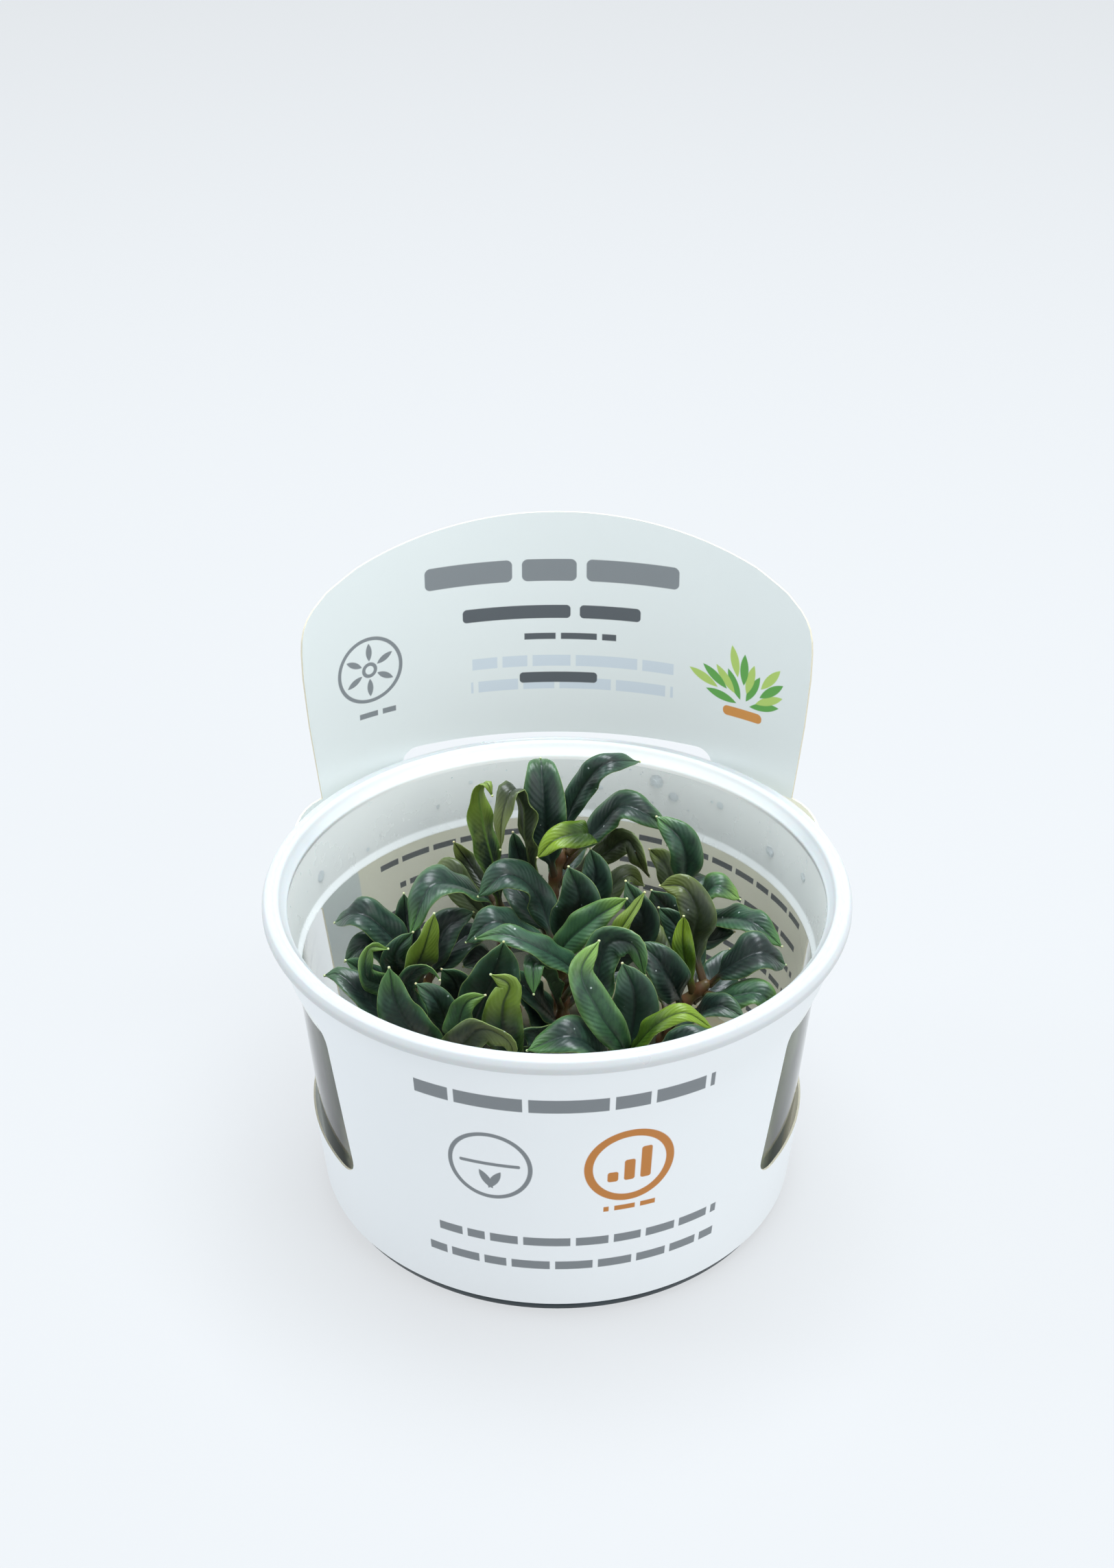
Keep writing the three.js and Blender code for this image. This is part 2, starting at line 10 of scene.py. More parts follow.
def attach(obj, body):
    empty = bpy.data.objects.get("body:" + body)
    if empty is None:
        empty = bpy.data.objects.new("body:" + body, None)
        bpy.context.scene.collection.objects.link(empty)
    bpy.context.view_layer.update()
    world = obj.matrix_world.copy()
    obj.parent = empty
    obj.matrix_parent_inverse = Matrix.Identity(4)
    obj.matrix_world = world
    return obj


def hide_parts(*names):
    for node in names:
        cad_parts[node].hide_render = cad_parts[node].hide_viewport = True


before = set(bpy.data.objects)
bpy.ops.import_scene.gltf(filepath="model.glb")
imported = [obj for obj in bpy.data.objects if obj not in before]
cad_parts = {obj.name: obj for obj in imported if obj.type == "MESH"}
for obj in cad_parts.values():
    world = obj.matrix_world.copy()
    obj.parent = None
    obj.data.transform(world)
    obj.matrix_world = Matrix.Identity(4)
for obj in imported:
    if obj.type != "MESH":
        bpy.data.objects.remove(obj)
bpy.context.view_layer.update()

scene = bpy.context.scene


def mix(a, b, share):
    return a + (b - a) * share


def smooth(low, high, value):
    share = min(max((value - low) / (high - low), 0), 1)
    return share * share * (3 - 2 * share)


def hexColor(text):
    # sRGB hex to the linear colour that the shaders take
    parts = [int(text[i:i + 2], 16) / 255 for i in (1, 3, 5)]
    return (*[p / 12.92 if p <= 0.04045 else ((p + 0.055) / 1.055) ** 2.4 for p in parts], 1)


def connect(tree, node, links):
    # feeds a node's inputs: a source is a socket, or a node that stands for its first output
    for key, source in links.items():
        tree.links.new(source.outputs[0] if hasattr(source, "outputs") else source, node.inputs[key])


def addNode(tree, kind, settings=None, links=None):
    # settings are the node's own choices or its inputs' values, links are what feeds its inputs
    node = tree.nodes.new(kind)
    for key, value in (settings or {}).items():
        if isinstance(key, str) and hasattr(node, key):
            setattr(node, key, value)
        else:
            node.inputs[key].default_value = value
    connect(tree, node, links or {})
    return node


def newMaterial(name, settings):
    # a material with one Principled shader, its fixed values set on its own sockets, and its coordinates
    surface = bpy.data.materials.new(name)
    surface.use_nodes = True
    tree = surface.node_tree
    shader = tree.nodes["Principled BSDF"]
    for key, value in settings.items():
        shader.inputs[key].default_value = value
    return surface, tree, shader, addNode(tree, "ShaderNodeTexCoord").outputs["Object"]


def paintLayers(tree, base, layers):
    # lays colours over a base one by one, each where its mask is 1; a colour is sRGB hex or a socket
    for color, mask in layers:
        blend = addNode(tree, "ShaderNodeMix", {"data_type": "RGBA"}, {0: mask})
        for slot, paint in ((6, base), (7, color)):
            if isinstance(paint, str):
                blend.inputs[slot].default_value = hexColor(paint)
            else:
                tree.links.new(paint, blend.inputs[slot])
        base = blend.outputs[2]
    return base


def finishPiece(bm, name, materials, nodes):
    # a mesh in millimetres becomes a smooth object in metres that rides on the one body
    for face in bm.faces:
        face.smooth = True
    bm.transform(Matrix.Scale(0.001, 4))
    mesh = bpy.data.meshes.new(name)
    bm.to_mesh(mesh)
    bm.free()
    for surface in materials:
        mesh.materials.append(surface)
    piece = bpy.data.objects.new(name, mesh)
    scene.collection.objects.link(piece)
    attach(piece, "root")
    if nodes:
        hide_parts(*nodes)


# Camera at the photograph's angle, 430 mm from the middle of the cup's base
view = {"place": (0, -0.3295, 0.279), "tiltDown": 31.2, "lens": 52.88}
camera = bpy.data.objects.new("camera", bpy.data.cameras.new("camera"))
camera.location = view["place"]
camera.rotation_euler = (math.radians(90 - view["tiltDown"]), 0, 0)
camera.data.lens = view["lens"]
scene.collection.objects.link(camera)
scene.camera = camera

# Soft studio light: a white tent, a little darker overhead, with a softbox above the plant
studio = {
    "horizon": "#f3f5f7", "zenith": "#a6adb2", "riseFrom": 0.12, "riseTo": 0.75, "worldStrength": 0.92,
    "floorBase": "#6f7172", "floorGlow": "#f2f5f8", "floorGlowStrength": 0.69,
    "lamps": [
        # name, place, target, width, height, watts, colour
        ("overheadSoftbox", (0.1, 0.08, 1), (0, 0, 0.04), 0.8, 0.55, 12.5, "#f2f8ff"),
        ("frontFill", (0.8, -0.9, 0.75), (0, 0, 0.04), 0.8, 0.8, 3, "#fffefc"),
        ("leftStrip", (-0.9, 0.1, 0.7), (0, 0, 0.04), 0.25, 0.6, 2.2, "#f2f8ff"),
    ],
}
world = bpy.data.worlds.new("studio")
world.use_nodes = True
skyTree = world.node_tree
skyShade = skyTree.nodes["Background"]
skyShade.inputs["Strength"].default_value = studio["worldStrength"]
skyPlace = addNode(skyTree, "ShaderNodeTexCoord").outputs["Generated"]
skyHeight = addNode(skyTree, "ShaderNodeSeparateXYZ", None, {0: skyPlace})
skyRise = addNode(skyTree, "ShaderNodeMapRange", {
    "From Min": studio["riseFrom"], "From Max": studio["riseTo"]}, {"Value": skyHeight.outputs[2]})
skyColor = paintLayers(skyTree, studio["horizon"], [(studio["zenith"], skyRise)])
connect(skyTree, skyShade, {"Color": skyColor})
scene.world = world
scene.view_settings.view_transform = "Standard"
for name, place, target, width, height, watts, color in studio["lamps"]:
    lamp = bpy.data.objects.new(name, bpy.data.lights.new(name, "AREA"))
    lamp.data.shape = "RECTANGLE"
    lamp.data.size = width
    lamp.data.size_y = height
    lamp.data.energy = watts
    lamp.data.color = hexColor(color)[:3]
    lamp.location = place
    lamp.rotation_euler = (Vector(target) - Vector(place)).to_track_quat("-Z", "Y").to_euler()
    scene.collection.objects.link(lamp)

bm = bmesh.new()
bmesh.ops.create_grid(bm, x_segments=2, y_segments=2, size=4)
floorMesh = bpy.data.meshes.new("studioFloor")
bm.to_mesh(floorMesh)
bm.free()
floorMesh.materials.append(newMaterial("paleStudioPaper", {
    "Roughness": 0.9, "Base Color": hexColor(studio["floorBase"]),
    "Emission Color": hexColor(studio["floorGlow"]), "Emission Strength": studio["floorGlowStrength"]})[0])
studioFloor = bpy.data.objects.new("studioFloor", floorMesh)
scene.collection.objects.link(studioFloor)
print("camera, light and floor ready")

# Cup: turned polypropylene with a foot ring, a stacking ledge, a neck and a rolled rim
cupForm = {
    "height": 60.1, "rimRadius": 50.5, "crestRadius": 48.7, "skirtBottom": 57.6, "baseRadius": 41.5,
    "footInner": 34, "footWidth": 7, "footHeight": 0.7, "footTop": 1.7, "wall": 0.9, "floorTop": 1.9,
    "ledgeHeight": 46, "ledgeRadius": 45.3, "ledgeDepth": 0.8, "neckRadius": 47.2, "neckHeight": 56.6,
    "steps": 128, "softEdge": 0.35,
}


def spinProfile(profile, steps, rounding):
    # turns a chain of (radius, height) points, its corners rounded, about the Z axis
    bm = bmesh.new()
    chain = [bm.verts.new((radius, 0, height)) for radius, height in profile]
    edges = [bm.edges.new(pair) for pair in zip(chain, chain[1:])]
    corners = chain[1:-1]
    if rounding:
        bmesh.ops.bevel(bm, geom=corners, offset=rounding, offset_type="OFFSET", segments=3,
                        profile=0.5, affect="VERTICES", material=-1, clamp_overlap=True)
    bmesh.ops.spin(bm, geom=bm.verts[:] + bm.edges[:], cent=(0, 0, 0), axis=(0, 0, 1),
                   angle=math.tau, steps=steps, use_merge=True)
    bmesh.ops.remove_doubles(bm, verts=bm.verts[:], dist=0.001)
    bmesh.ops.recalc_face_normals(bm, faces=bm.faces[:])
    return bm


def cupMaterials():
    # Clear moulded polypropylene: see-through with a grey cast and a slightly soft gloss
    clear, tree, shader, place = newMaterial("clearPolypropylene", {
        "Transmission Weight": 0.97, "IOR": 1.25, "Roughness": 0.05, "Specular IOR Level": 0.1})
    split = addNode(tree, "ShaderNodeSeparateXYZ", None, {0: place})
    # upright smears of damp and gel, some 6 mm wide, over a painted shade for the dark surroundings seen
    # through the wall, darken the wall towards the two sides, the left more than the right
    stretched = addNode(tree, "ShaderNodeMapping", {"Scale": (1, 1, 0.12)}, {"Vector": place})
    smear = addNode(tree, "ShaderNodeTexNoise", {"Scale": 170, "Detail": 3}, {"Vector": stretched})
    streak = addNode(tree, "ShaderNodeMapRange", {"From Min": 0.36, "From Max": 0.62}, {"Value": smear})
    toRight = addNode(tree, "ShaderNodeMapRange", {"From Min": -0.03, "From Max": 0.03},
                      {"Value": split.outputs[0]})
    thick = paintLayers(tree, "#343b2c", [("#68715a", toRight)])
    thin = paintLayers(tree, "#6c745e", [("#929c7e", toRight)])
    dampAndPaintedShade = paintLayers(tree, thick, [(thin, streak)])
    sideways = addNode(tree, "ShaderNodeMath", {"operation": "ABSOLUTE"}, {0: split.outputs[0]})
    nearSide = addNode(tree, "ShaderNodeMapRange", {"From Min": 0.033, "From Max": 0.037},
                       {"Value": sideways})
    frontward = addNode(tree, "ShaderNodeMapRange", {"From Min": 0.003, "From Max": -0.004},
                        {"Value": split.outputs[1]})
    onSide = addNode(tree, "ShaderNodeMath", {"operation": "MULTIPLY"}, {0: nearSide, 1: frontward})
    ripple = addNode(tree, "ShaderNodeTexNoise", {"Scale": 60, "Detail": 2}, {"Vector": place})
    bump = addNode(tree, "ShaderNodeBump", {"Strength": 0.12, "Distance": 0.0004}, {"Height": ripple})
    connect(tree, shader, {"Base Color": paintLayers(tree, "#f3f6f5", [(dampAndPaintedShade, onSide)]), "Normal": bump})

    # The neck is thicker and fogged: milky, and what lies behind it is only a blur
    fogged, tree, shader, place = newMaterial("foggedPolypropylene", {
        "Base Color": hexColor("#eef2f1"), "Transmission Weight": 0.14, "IOR": 1.4,
        "Emission Color": hexColor("#eef4f4")})
    smudge = addNode(tree, "ShaderNodeTexNoise", {"Scale": 90, "Detail": 4, "Roughness": 0.6},
                     {"Vector": place})
    rough = addNode(tree, "ShaderNodeMapRange", {
        "From Min": 0.35, "From Max": 0.65, "To Min": 0.2, "To Max": 0.42}, {"Value": smudge})
    bump = addNode(tree, "ShaderNodeBump", {"Strength": 0.1, "Distance": 0.0002}, {"Height": smudge})
    # painted light: an emission that rises towards the top stands for daylight gathering in it, most where
    # the label's slot lets it in from behind
    rise = addNode(tree, "ShaderNodeSeparateXYZ", None, {0: place})
    glow = addNode(tree, "ShaderNodeMapRange", {
        "From Min": 0.046, "From Max": 0.057, "To Min": 0.06, "To Max": 0.16}, {"Value": rise.outputs[2]})
    connect(tree, shader, {"Roughness": rough, "Normal": bump, "Emission Strength": glow})

    # The rim is thicker still, so the same plastic turns milky white there
    milky, tree, shader, place = newMaterial("milkyPolypropylene", {
        "Base Color": hexColor("#dee3e4"), "Transmission Weight": 0.18, "IOR": 1.45,
        "Subsurface Weight": 0.15, "Subsurface Scale": 0.002, "Emission Color": hexColor("#f1f7f4")})
    haze = addNode(tree, "ShaderNodeTexNoise", {"Scale": 140, "Detail": 3}, {"Vector": place})
    rough = addNode(tree, "ShaderNodeMapRange", {"To Min": 0.22, "To Max": 0.4}, {"Value": haze})
    # painted light: its inner side at the back glows with an emission standing for light through the
    # label's slot
    split = addNode(tree, "ShaderNodeSeparateXYZ", None, {0: place})
    level = addNode(tree, "ShaderNodeMapping", {"Scale": (1, 1, 0)}, {"Vector": place})
    fromAxis = addNode(tree, "ShaderNodeVectorMath", {"operation": "LENGTH"}, {0: level})
    inward = addNode(tree, "ShaderNodeMapRange", {"From Min": 0.0487, "From Max": 0.048},
                     {"Value": fromAxis.outputs["Value"]})
    backward = addNode(tree, "ShaderNodeMapRange", {"From Min": 0.015, "From Max": 0.042, "To Max": 0.4},
                       {"Value": split.outputs[1]})
    lit = addNode(tree, "ShaderNodeMath", {"operation": "MULTIPLY"}, {0: inward, 1: backward})
    connect(tree, shader, {"Roughness": rough, "Emission Strength": lit})

    # Painted shade: the foot ring is coloured dark for the shade it stands in and the dark of the plant and
    # the gel seen through it
    foot, tree, shader, place = newMaterial("shadedFootPolypropylene", {
        "Transmission Weight": 0.2, "IOR": 1.4, "Roughness": 0.35, "Specular IOR Level": 0.25})
    blot = addNode(tree, "ShaderNodeTexNoise", {"Scale": 110, "Detail": 2}, {"Vector": place})
    connect(tree, shader, {"Base Color": paintLayers(tree, "#0f1b21", [("#263840", blot)])})
    return [clear, fogged, milky, foot]


def buildCup():
    c = cupForm
    rim, top, wall = c["rimRadius"], c["height"], c["wall"]
    ledge, ledgeHeight, depth = c["ledgeRadius"], c["ledgeHeight"], c["ledgeDepth"]
    neck, neckHeight = c["neckRadius"], c["neckHeight"]
    profile = [
        (0, c["footHeight"]),
        (c["footInner"] - 1, c["footHeight"]),
        (c["footInner"], 0),                        # foot ring
        (c["footInner"] + c["footWidth"], 0),
        (c["baseRadius"], 1.5),
        (ledge, ledgeHeight - 1),                   # stacking ledge
        (ledge + depth, ledgeHeight + 0.2),
        (neck, neckHeight),
        (neck + 0.5, neckHeight + 1.6),             # under the rim and down its skirt
        (rim - 0.8, neckHeight + 2),
        (rim - 0.8, c["skirtBottom"]),
        (rim, c["skirtBottom"]),
        (rim, top - 1.3),
        (rim - 0.5, top - 0.25),
        (rim - 1.3, top),
        (rim - 1.7, top - 0.3),                     # a fine groove between the rim's two beads
        (rim - 2.1, top),
        (c["crestRadius"] - 1, top - 0.25),
        (c["crestRadius"] - 1.4, top - 1),
        (neck - wall + 0.35, neckHeight + 1.6),
        (neck - wall - 0.1, neckHeight + 1.1),      # bead that a lid snaps under
        (neck - wall + 0.05, neckHeight + 0.4),
        (ledge - wall + depth, ledgeHeight + 0.6),
        (ledge - wall, ledgeHeight - 0.5),          # inner wall down to the floor
        (c["baseRadius"] - wall, 4.2),
        (c["baseRadius"] - 2.6, c["floorTop"]),
        (0, c["floorTop"]),
    ]
    bm = spinProfile(profile, c["steps"], c["softEdge"])
    for face in bm.faces:
        middle = face.calc_center_median()
        if middle.z > neckHeight + 0.3:
            face.material_index = 2
        elif middle.z > ledgeHeight - 0.6:
            face.material_index = 1
        elif middle.z < c["footTop"] and middle.xy.length > c["footInner"] + 1:
            face.material_index = 3
    finishPiece(bm, "cupShell", cupMaterials(), ["cup"])


buildCup()
print("cup turned")

# Nutrient gel, cast in the cup and slightly uneven on top
gelForm = {"bottom": 2.1, "bottomRadius": 38.3, "bottomCorner": 4.4, "radius": 40.6, "top": 10.4,
           "meniscus": 0.7, "unevenness": 0.25, "unevenScale": 0.12, "steps": 96}


def buildGel():
    g = gelForm
    profile = [(0, g["bottom"]), (g["bottomRadius"], g["bottom"]), (g["radius"] - 0.4, g["bottomCorner"]),
               (g["radius"], g["top"] + g["meniscus"]), (g["radius"] - 0.6, g["top"] + 0.25),
               (g["radius"] - 1.8, g["top"])]
    profile += [(radius, g["top"]) for radius in (34, 28, 22, 16, 10, 5, 0)]
    bm = spinProfile(profile, g["steps"], 0)
    for vert in bm.verts:
        if vert.co.z > g["top"] - 0.1 and vert.co.xy.length < g["radius"] - 1:
            vert.co.z += g["unevenness"] * noise.noise(vert.co * g["unevenScale"])
    # Gellan gum gel: cloudy, wet and pale beige
    surface, tree, shader, place = newMaterial("cloudyGellanGel", {
        "Transmission Weight": 0.35, "IOR": 1.34, "Roughness": 0.16, "Coat Weight": 0.15,
        "Subsurface Weight": 0.25, "Subsurface Scale": 0.004})
    cloud = addNode(tree, "ShaderNodeTexNoise", {"Scale": 70, "Detail": 4}, {"Vector": place})
    # painted shade: it is darkened under the plant, where the leaves shade it
    level = addNode(tree, "ShaderNodeMapping", {"Scale": (1, 1, 0)}, {"Vector": place})
    fromAxis = addNode(tree, "ShaderNodeVectorMath", {"operation": "LENGTH"}, {0: level})
    uneven = addNode(tree, "ShaderNodeMath", {"operation": "MULTIPLY_ADD", 1: 0.022},
                     {0: cloud, 2: fromAxis.outputs["Value"]})
    paintedShadeUnderPlant = addNode(tree, "ShaderNodeMapRange", {
        "From Min": 0.05, "From Max": 0.038, "To Max": 0.95, "interpolation_type": "SMOOTHSTEP"},
        {"Value": uneven})
    color = paintLayers(tree, "#cfc6a4", [("#e0dabf", cloud), ("#202a1b", paintedShadeUnderPlant)])
    fine = addNode(tree, "ShaderNodeTexNoise", {"Scale": 500, "Detail": 2}, {"Vector": place})
    bump = addNode(tree, "ShaderNodeBump", {"Strength": 0.3, "Distance": 0.0002}, {"Height": fine})
    connect(tree, shader, {"Base Color": color, "Normal": bump})
    finishPiece(bm, "nutrientGel", [surface], ["gel"])


buildGel()
print("gel cast")

# Label: one coated sheet round the cup, its back rising past the rim as a flatter tab
labelForm = {
    # millimetres; the blend is in radians round from the back, the seam in degrees
    "thickness": 0.35, "bottom": 2.6, "top": 56.9, "bottomRadius": 42.3, "topRadius": 47.8,
    "arcRadius": 64, "arcCentreY": -15, "halfWidth": 50.3, "halfWidthAtRim": 47.5, "peak": 106.9,
    "topArcRadius": 119, "shoulder": 88, "bendBottom": 42, "blendStart": 1.0, "blendEnd": 1.4,
    "slotHalf": 29, "slotBottom": 55.2, "slotTop": 61.5, "slotCorner": 3.1,
    "windowFront": -27.5, "windowBack": {-1: 17, 1: 8}, "windowBottom": 17, "windowTop": 49.5,
    "windowCorner": 4, "seamTurn": 131.5, "cellAlong": 2, "cellUp": 3,
}
sheetStart = math.radians(labelForm["seamTurn"] - 360) * labelForm["topRadius"]
sheetEnd = math.radians(labelForm["seamTurn"]) * labelForm["topRadius"]
sheetSpan = (sheetEnd - sheetStart, 110)   # millimetres that the sheet's UV map covers


def sheetPoint(turn, height, offset=0):
    # where a point of the sheet lies: turn goes from the back of the cup, radians
    s = labelForm
    share = (height - s["bottom"]) / (s["top"] - s["bottom"])
    coneRadius = mix(s["bottomRadius"], s["topRadius"], min(share, 1)) + offset
    tabTurn = turn * s["topRadius"] / s["arcRadius"]
    tabRadius = s["arcRadius"] + offset
    lift = smooth(s["bendBottom"], s["slotBottom"], height)
    lift *= 1 - smooth(s["blendStart"], s["blendEnd"], abs(turn))
    x = mix(coneRadius * math.sin(turn), tabRadius * math.sin(tabTurn), lift)
    y = mix(coneRadius * math.cos(turn), s["arcCentreY"] + tabRadius * math.cos(tabTurn), lift)
    return Vector((x, y, height))


def alongAtY(y, height):
    # how far round the sheet, from its middle, its surface comes to that y
    near, far = 0.2, math.pi
    for _ in range(30):
        middle = (near + far) / 2
        if sheetPoint(middle, height).y > y:
            near = middle
        else:
            far = middle
    return near * labelForm["topRadius"]


def roundedBox(left, bottom, right, top, corner, spacing):
    # outline of a box with round corners, its long sides divided
    points = []
    centres = [(right - corner, bottom + corner, -90), (right - corner, top - corner, 0),
               (left + corner, top - corner, 90), (left + corner, bottom + corner, 180)]
    for x, y, start in centres:
        for i in range(7):
            angle = math.radians(start + i * 15)
            points.append(Vector((x + corner * math.cos(angle), y + corner * math.sin(angle))))
    dense = []
    for i, point in enumerate(points):
        following = points[(i + 1) % len(points)]
        pieces = max(1, round((following - point).length / spacing))
        dense += [point.lerp(following, k / pieces) for k in range(pieces)]
    return dense


def tabOutline():
    # right half of the tab's outline, from the label's top edge to the peak, then its mirror
    s = labelForm
    half, shoulder = s["halfWidth"], s["shoulder"]
    corner = [(0, 0), (0.25, 2.4), (0.9, 4.4), (1.9, 6), (3.2, 7.4), (6.3, 9.8)]   # in from the side, up
    edge = [(s["halfWidthAtRim"], s["top"]), (mix(s["halfWidthAtRim"], half, 0.7), 73),
            (half, shoulder - 5)]
    edge += [(half - inward, shoulder + up) for inward, up in corner]
    arcSteps, arc = 16, s["topArcRadius"]
    for i in range(1, arcSteps):
        along = mix(half - 10.3, 0, i / arcSteps)
        edge.append((along, s["peak"] - arc + math.sqrt(arc ** 2 - along ** 2)))
    left = [(-along, height) for along, height in reversed(edge)]
    return edge + [(0, s["peak"])] + left


def buildLabel():
    s = labelForm
    bm = bmesh.new()
    sheet = [(sheetStart, s["bottom"]), (sheetEnd, s["bottom"]), (sheetEnd, s["top"])]
    sheet += tabOutline() + [(sheetStart, s["top"])]
    slotHalf = s["arcRadius"] * math.asin(s["slotHalf"] / s["arcRadius"])
    slot = roundedBox(-slotHalf, s["slotBottom"], slotHalf, s["slotTop"], s["slotCorner"], 4)
    windows = []
    for side, back in s["windowBack"].items():
        box = roundedBox(s["windowFront"], s["windowBottom"], back, s["windowTop"], s["windowCorner"], 3)
        windows.append([(side * alongAtY(y, height), height) for y, height in box])
    for outline in [sheet, slot, *windows]:
        corners = [bm.verts.new((along, height, 0)) for along, height in outline]
        for i, corner in enumerate(corners):
            bm.edges.new((corners[i - 1], corner))
    bmesh.ops.triangle_fill(bm, use_beauty=True, edges=bm.edges[:])
    alongCuts = range(math.ceil(sheetStart), math.ceil(sheetEnd), s["cellAlong"])
    upCuts = range(math.ceil(s["bottom"]), math.ceil(s["peak"]), s["cellUp"])
    cuts = [((along, 0, 0), (1, 0, 0)) for along in alongCuts]
    cuts += [((0, height, 0), (0, 1, 0)) for height in upCuts]
    for place, normal in cuts:
        geom = bm.verts[:] + bm.edges[:] + bm.faces[:]
        bmesh.ops.bisect_plane(bm, geom=geom, dist=0.0005, plane_co=place, plane_no=normal)
    uvMap = bm.loops.layers.uv.new("sheet")
    for face in bm.faces:
        for loop in face.loops:
            along, height, _ = loop.vert.co
            loop[uvMap].uv = ((along - sheetStart) / sheetSpan[0], height / sheetSpan[1])
    for vert in bm.verts:
        vert.co = sheetPoint(vert.co.x / s["topRadius"], vert.co.y, s["thickness"] / 2)
    bmesh.ops.remove_doubles(bm, verts=bm.verts[:], dist=0.01)
    bm.normal_update()
    outward = sum(face.normal.xy.dot(face.calc_center_median().xy) for face in bm.faces)
    if outward < 0:
        bmesh.ops.reverse_faces(bm, faces=bm.faces[:])
    bmesh.ops.solidify(bm, geom=bm.faces[:], thickness=s["thickness"])
    bm.normal_update()
    for face in bm.faces:
        middle = face.calc_center_median()
        facing = face.normal.xy.dot(middle.xy.normalized())
        face.material_index = 0 if facing > 0.5 else 1 if facing < -0.5 else 2
    for edge in bm.edges:
        if len(edge.link_faces) == 2 and edge.calc_face_angle() > 0.7:
            edge.smooth = False
    finishPiece(bm, "wrapLabel", labelMaterials(), ["label"])


# Print: generic bars, rings and sprigs in the label's greys, orange and greens
inks = {
    "paper": "#f1f5f7", "tab": "#d6dddd", "grey": "#7c8286", "dark": "#555b60", "faint": "#c3ced6",
    "orange": "#c07a2c", "leafGreen": "#5d9c4e", "paleGreen": "#a7c36a", "soil": "#c58a4a",
    # shade is no ink: it is painted shade on the label's inside behind the plant
    "inside": "#eae8d8", "insideInk": "#63666a", "cardEdge": "#f1ead2", "shade": "#2f3a2a",
}
inkEdge = 0.08   # half the width over which a printed edge fades, millimetres


def barMask(tree, place, left, bottom, right, top, corner):
    # 1 inside a bar with round corners on the flat sheet, millimetres
    centre = ((left + right) / 2, (bottom + top) / 2, 0)
    half = ((right - left) / 2 - corner, (top - bottom) / 2 - corner, 1)
    offset = addNode(tree, "ShaderNodeVectorMath", {"operation": "SUBTRACT", 1: centre}, {0: place})
    folded = addNode(tree, "ShaderNodeVectorMath", {"operation": "ABSOLUTE"}, {0: offset})
    past = addNode(tree, "ShaderNodeVectorMath", {"operation": "SUBTRACT", 1: half}, {0: folded})
    beyond = addNode(tree, "ShaderNodeVectorMath", {"operation": "MAXIMUM", 1: (0, 0, 0)}, {0: past})
    reach = addNode(tree, "ShaderNodeVectorMath", {"operation": "LENGTH"}, {0: beyond})
    edge = addNode(tree, "ShaderNodeMapRange", {
        "From Min": corner + inkEdge, "From Max": corner - inkEdge}, {"Value": reach.outputs["Value"]})
    return edge.outputs[0]


def ringMask(tree, place, centre, radius, stroke):
    # 1 on a circle's line of the given stroke; a radius of 0 makes it a disc as wide as the stroke
    offset = addNode(tree, "ShaderNodeVectorMath", {"operation": "DISTANCE", 1: (*centre, 0)}, {0: place})
    off = addNode(tree, "ShaderNodeMath", {"operation": "SUBTRACT", 1: radius},
                  {0: offset.outputs["Value"]})
    gap = addNode(tree, "ShaderNodeMath", {"operation": "ABSOLUTE"}, {0: off})
    edge = addNode(tree, "ShaderNodeMapRange", {
        "From Min": stroke / 2 + inkEdge, "From Max": stroke / 2 - inkEdge}, {"Value": gap})
    return edge.outputs[0]


def leafletMask(tree, place, centre, length, width, turn):
    # 1 inside a pointed leaflet: where two discs overlap
    radius = (length ** 2 + width ** 2) / (4 * width)
    reach = radius - width / 2
    across = Vector((-math.sin(turn), math.cos(turn)))
    discs = [ringMask(tree, place, Vector(centre) + across * side, 0, radius * 2)
             for side in (-reach, reach)]
    both = addNode(tree, "ShaderNodeMath", {"operation": "MULTIPLY"}, {0: discs[0], 1: discs[1]})
    return both.outputs[0]


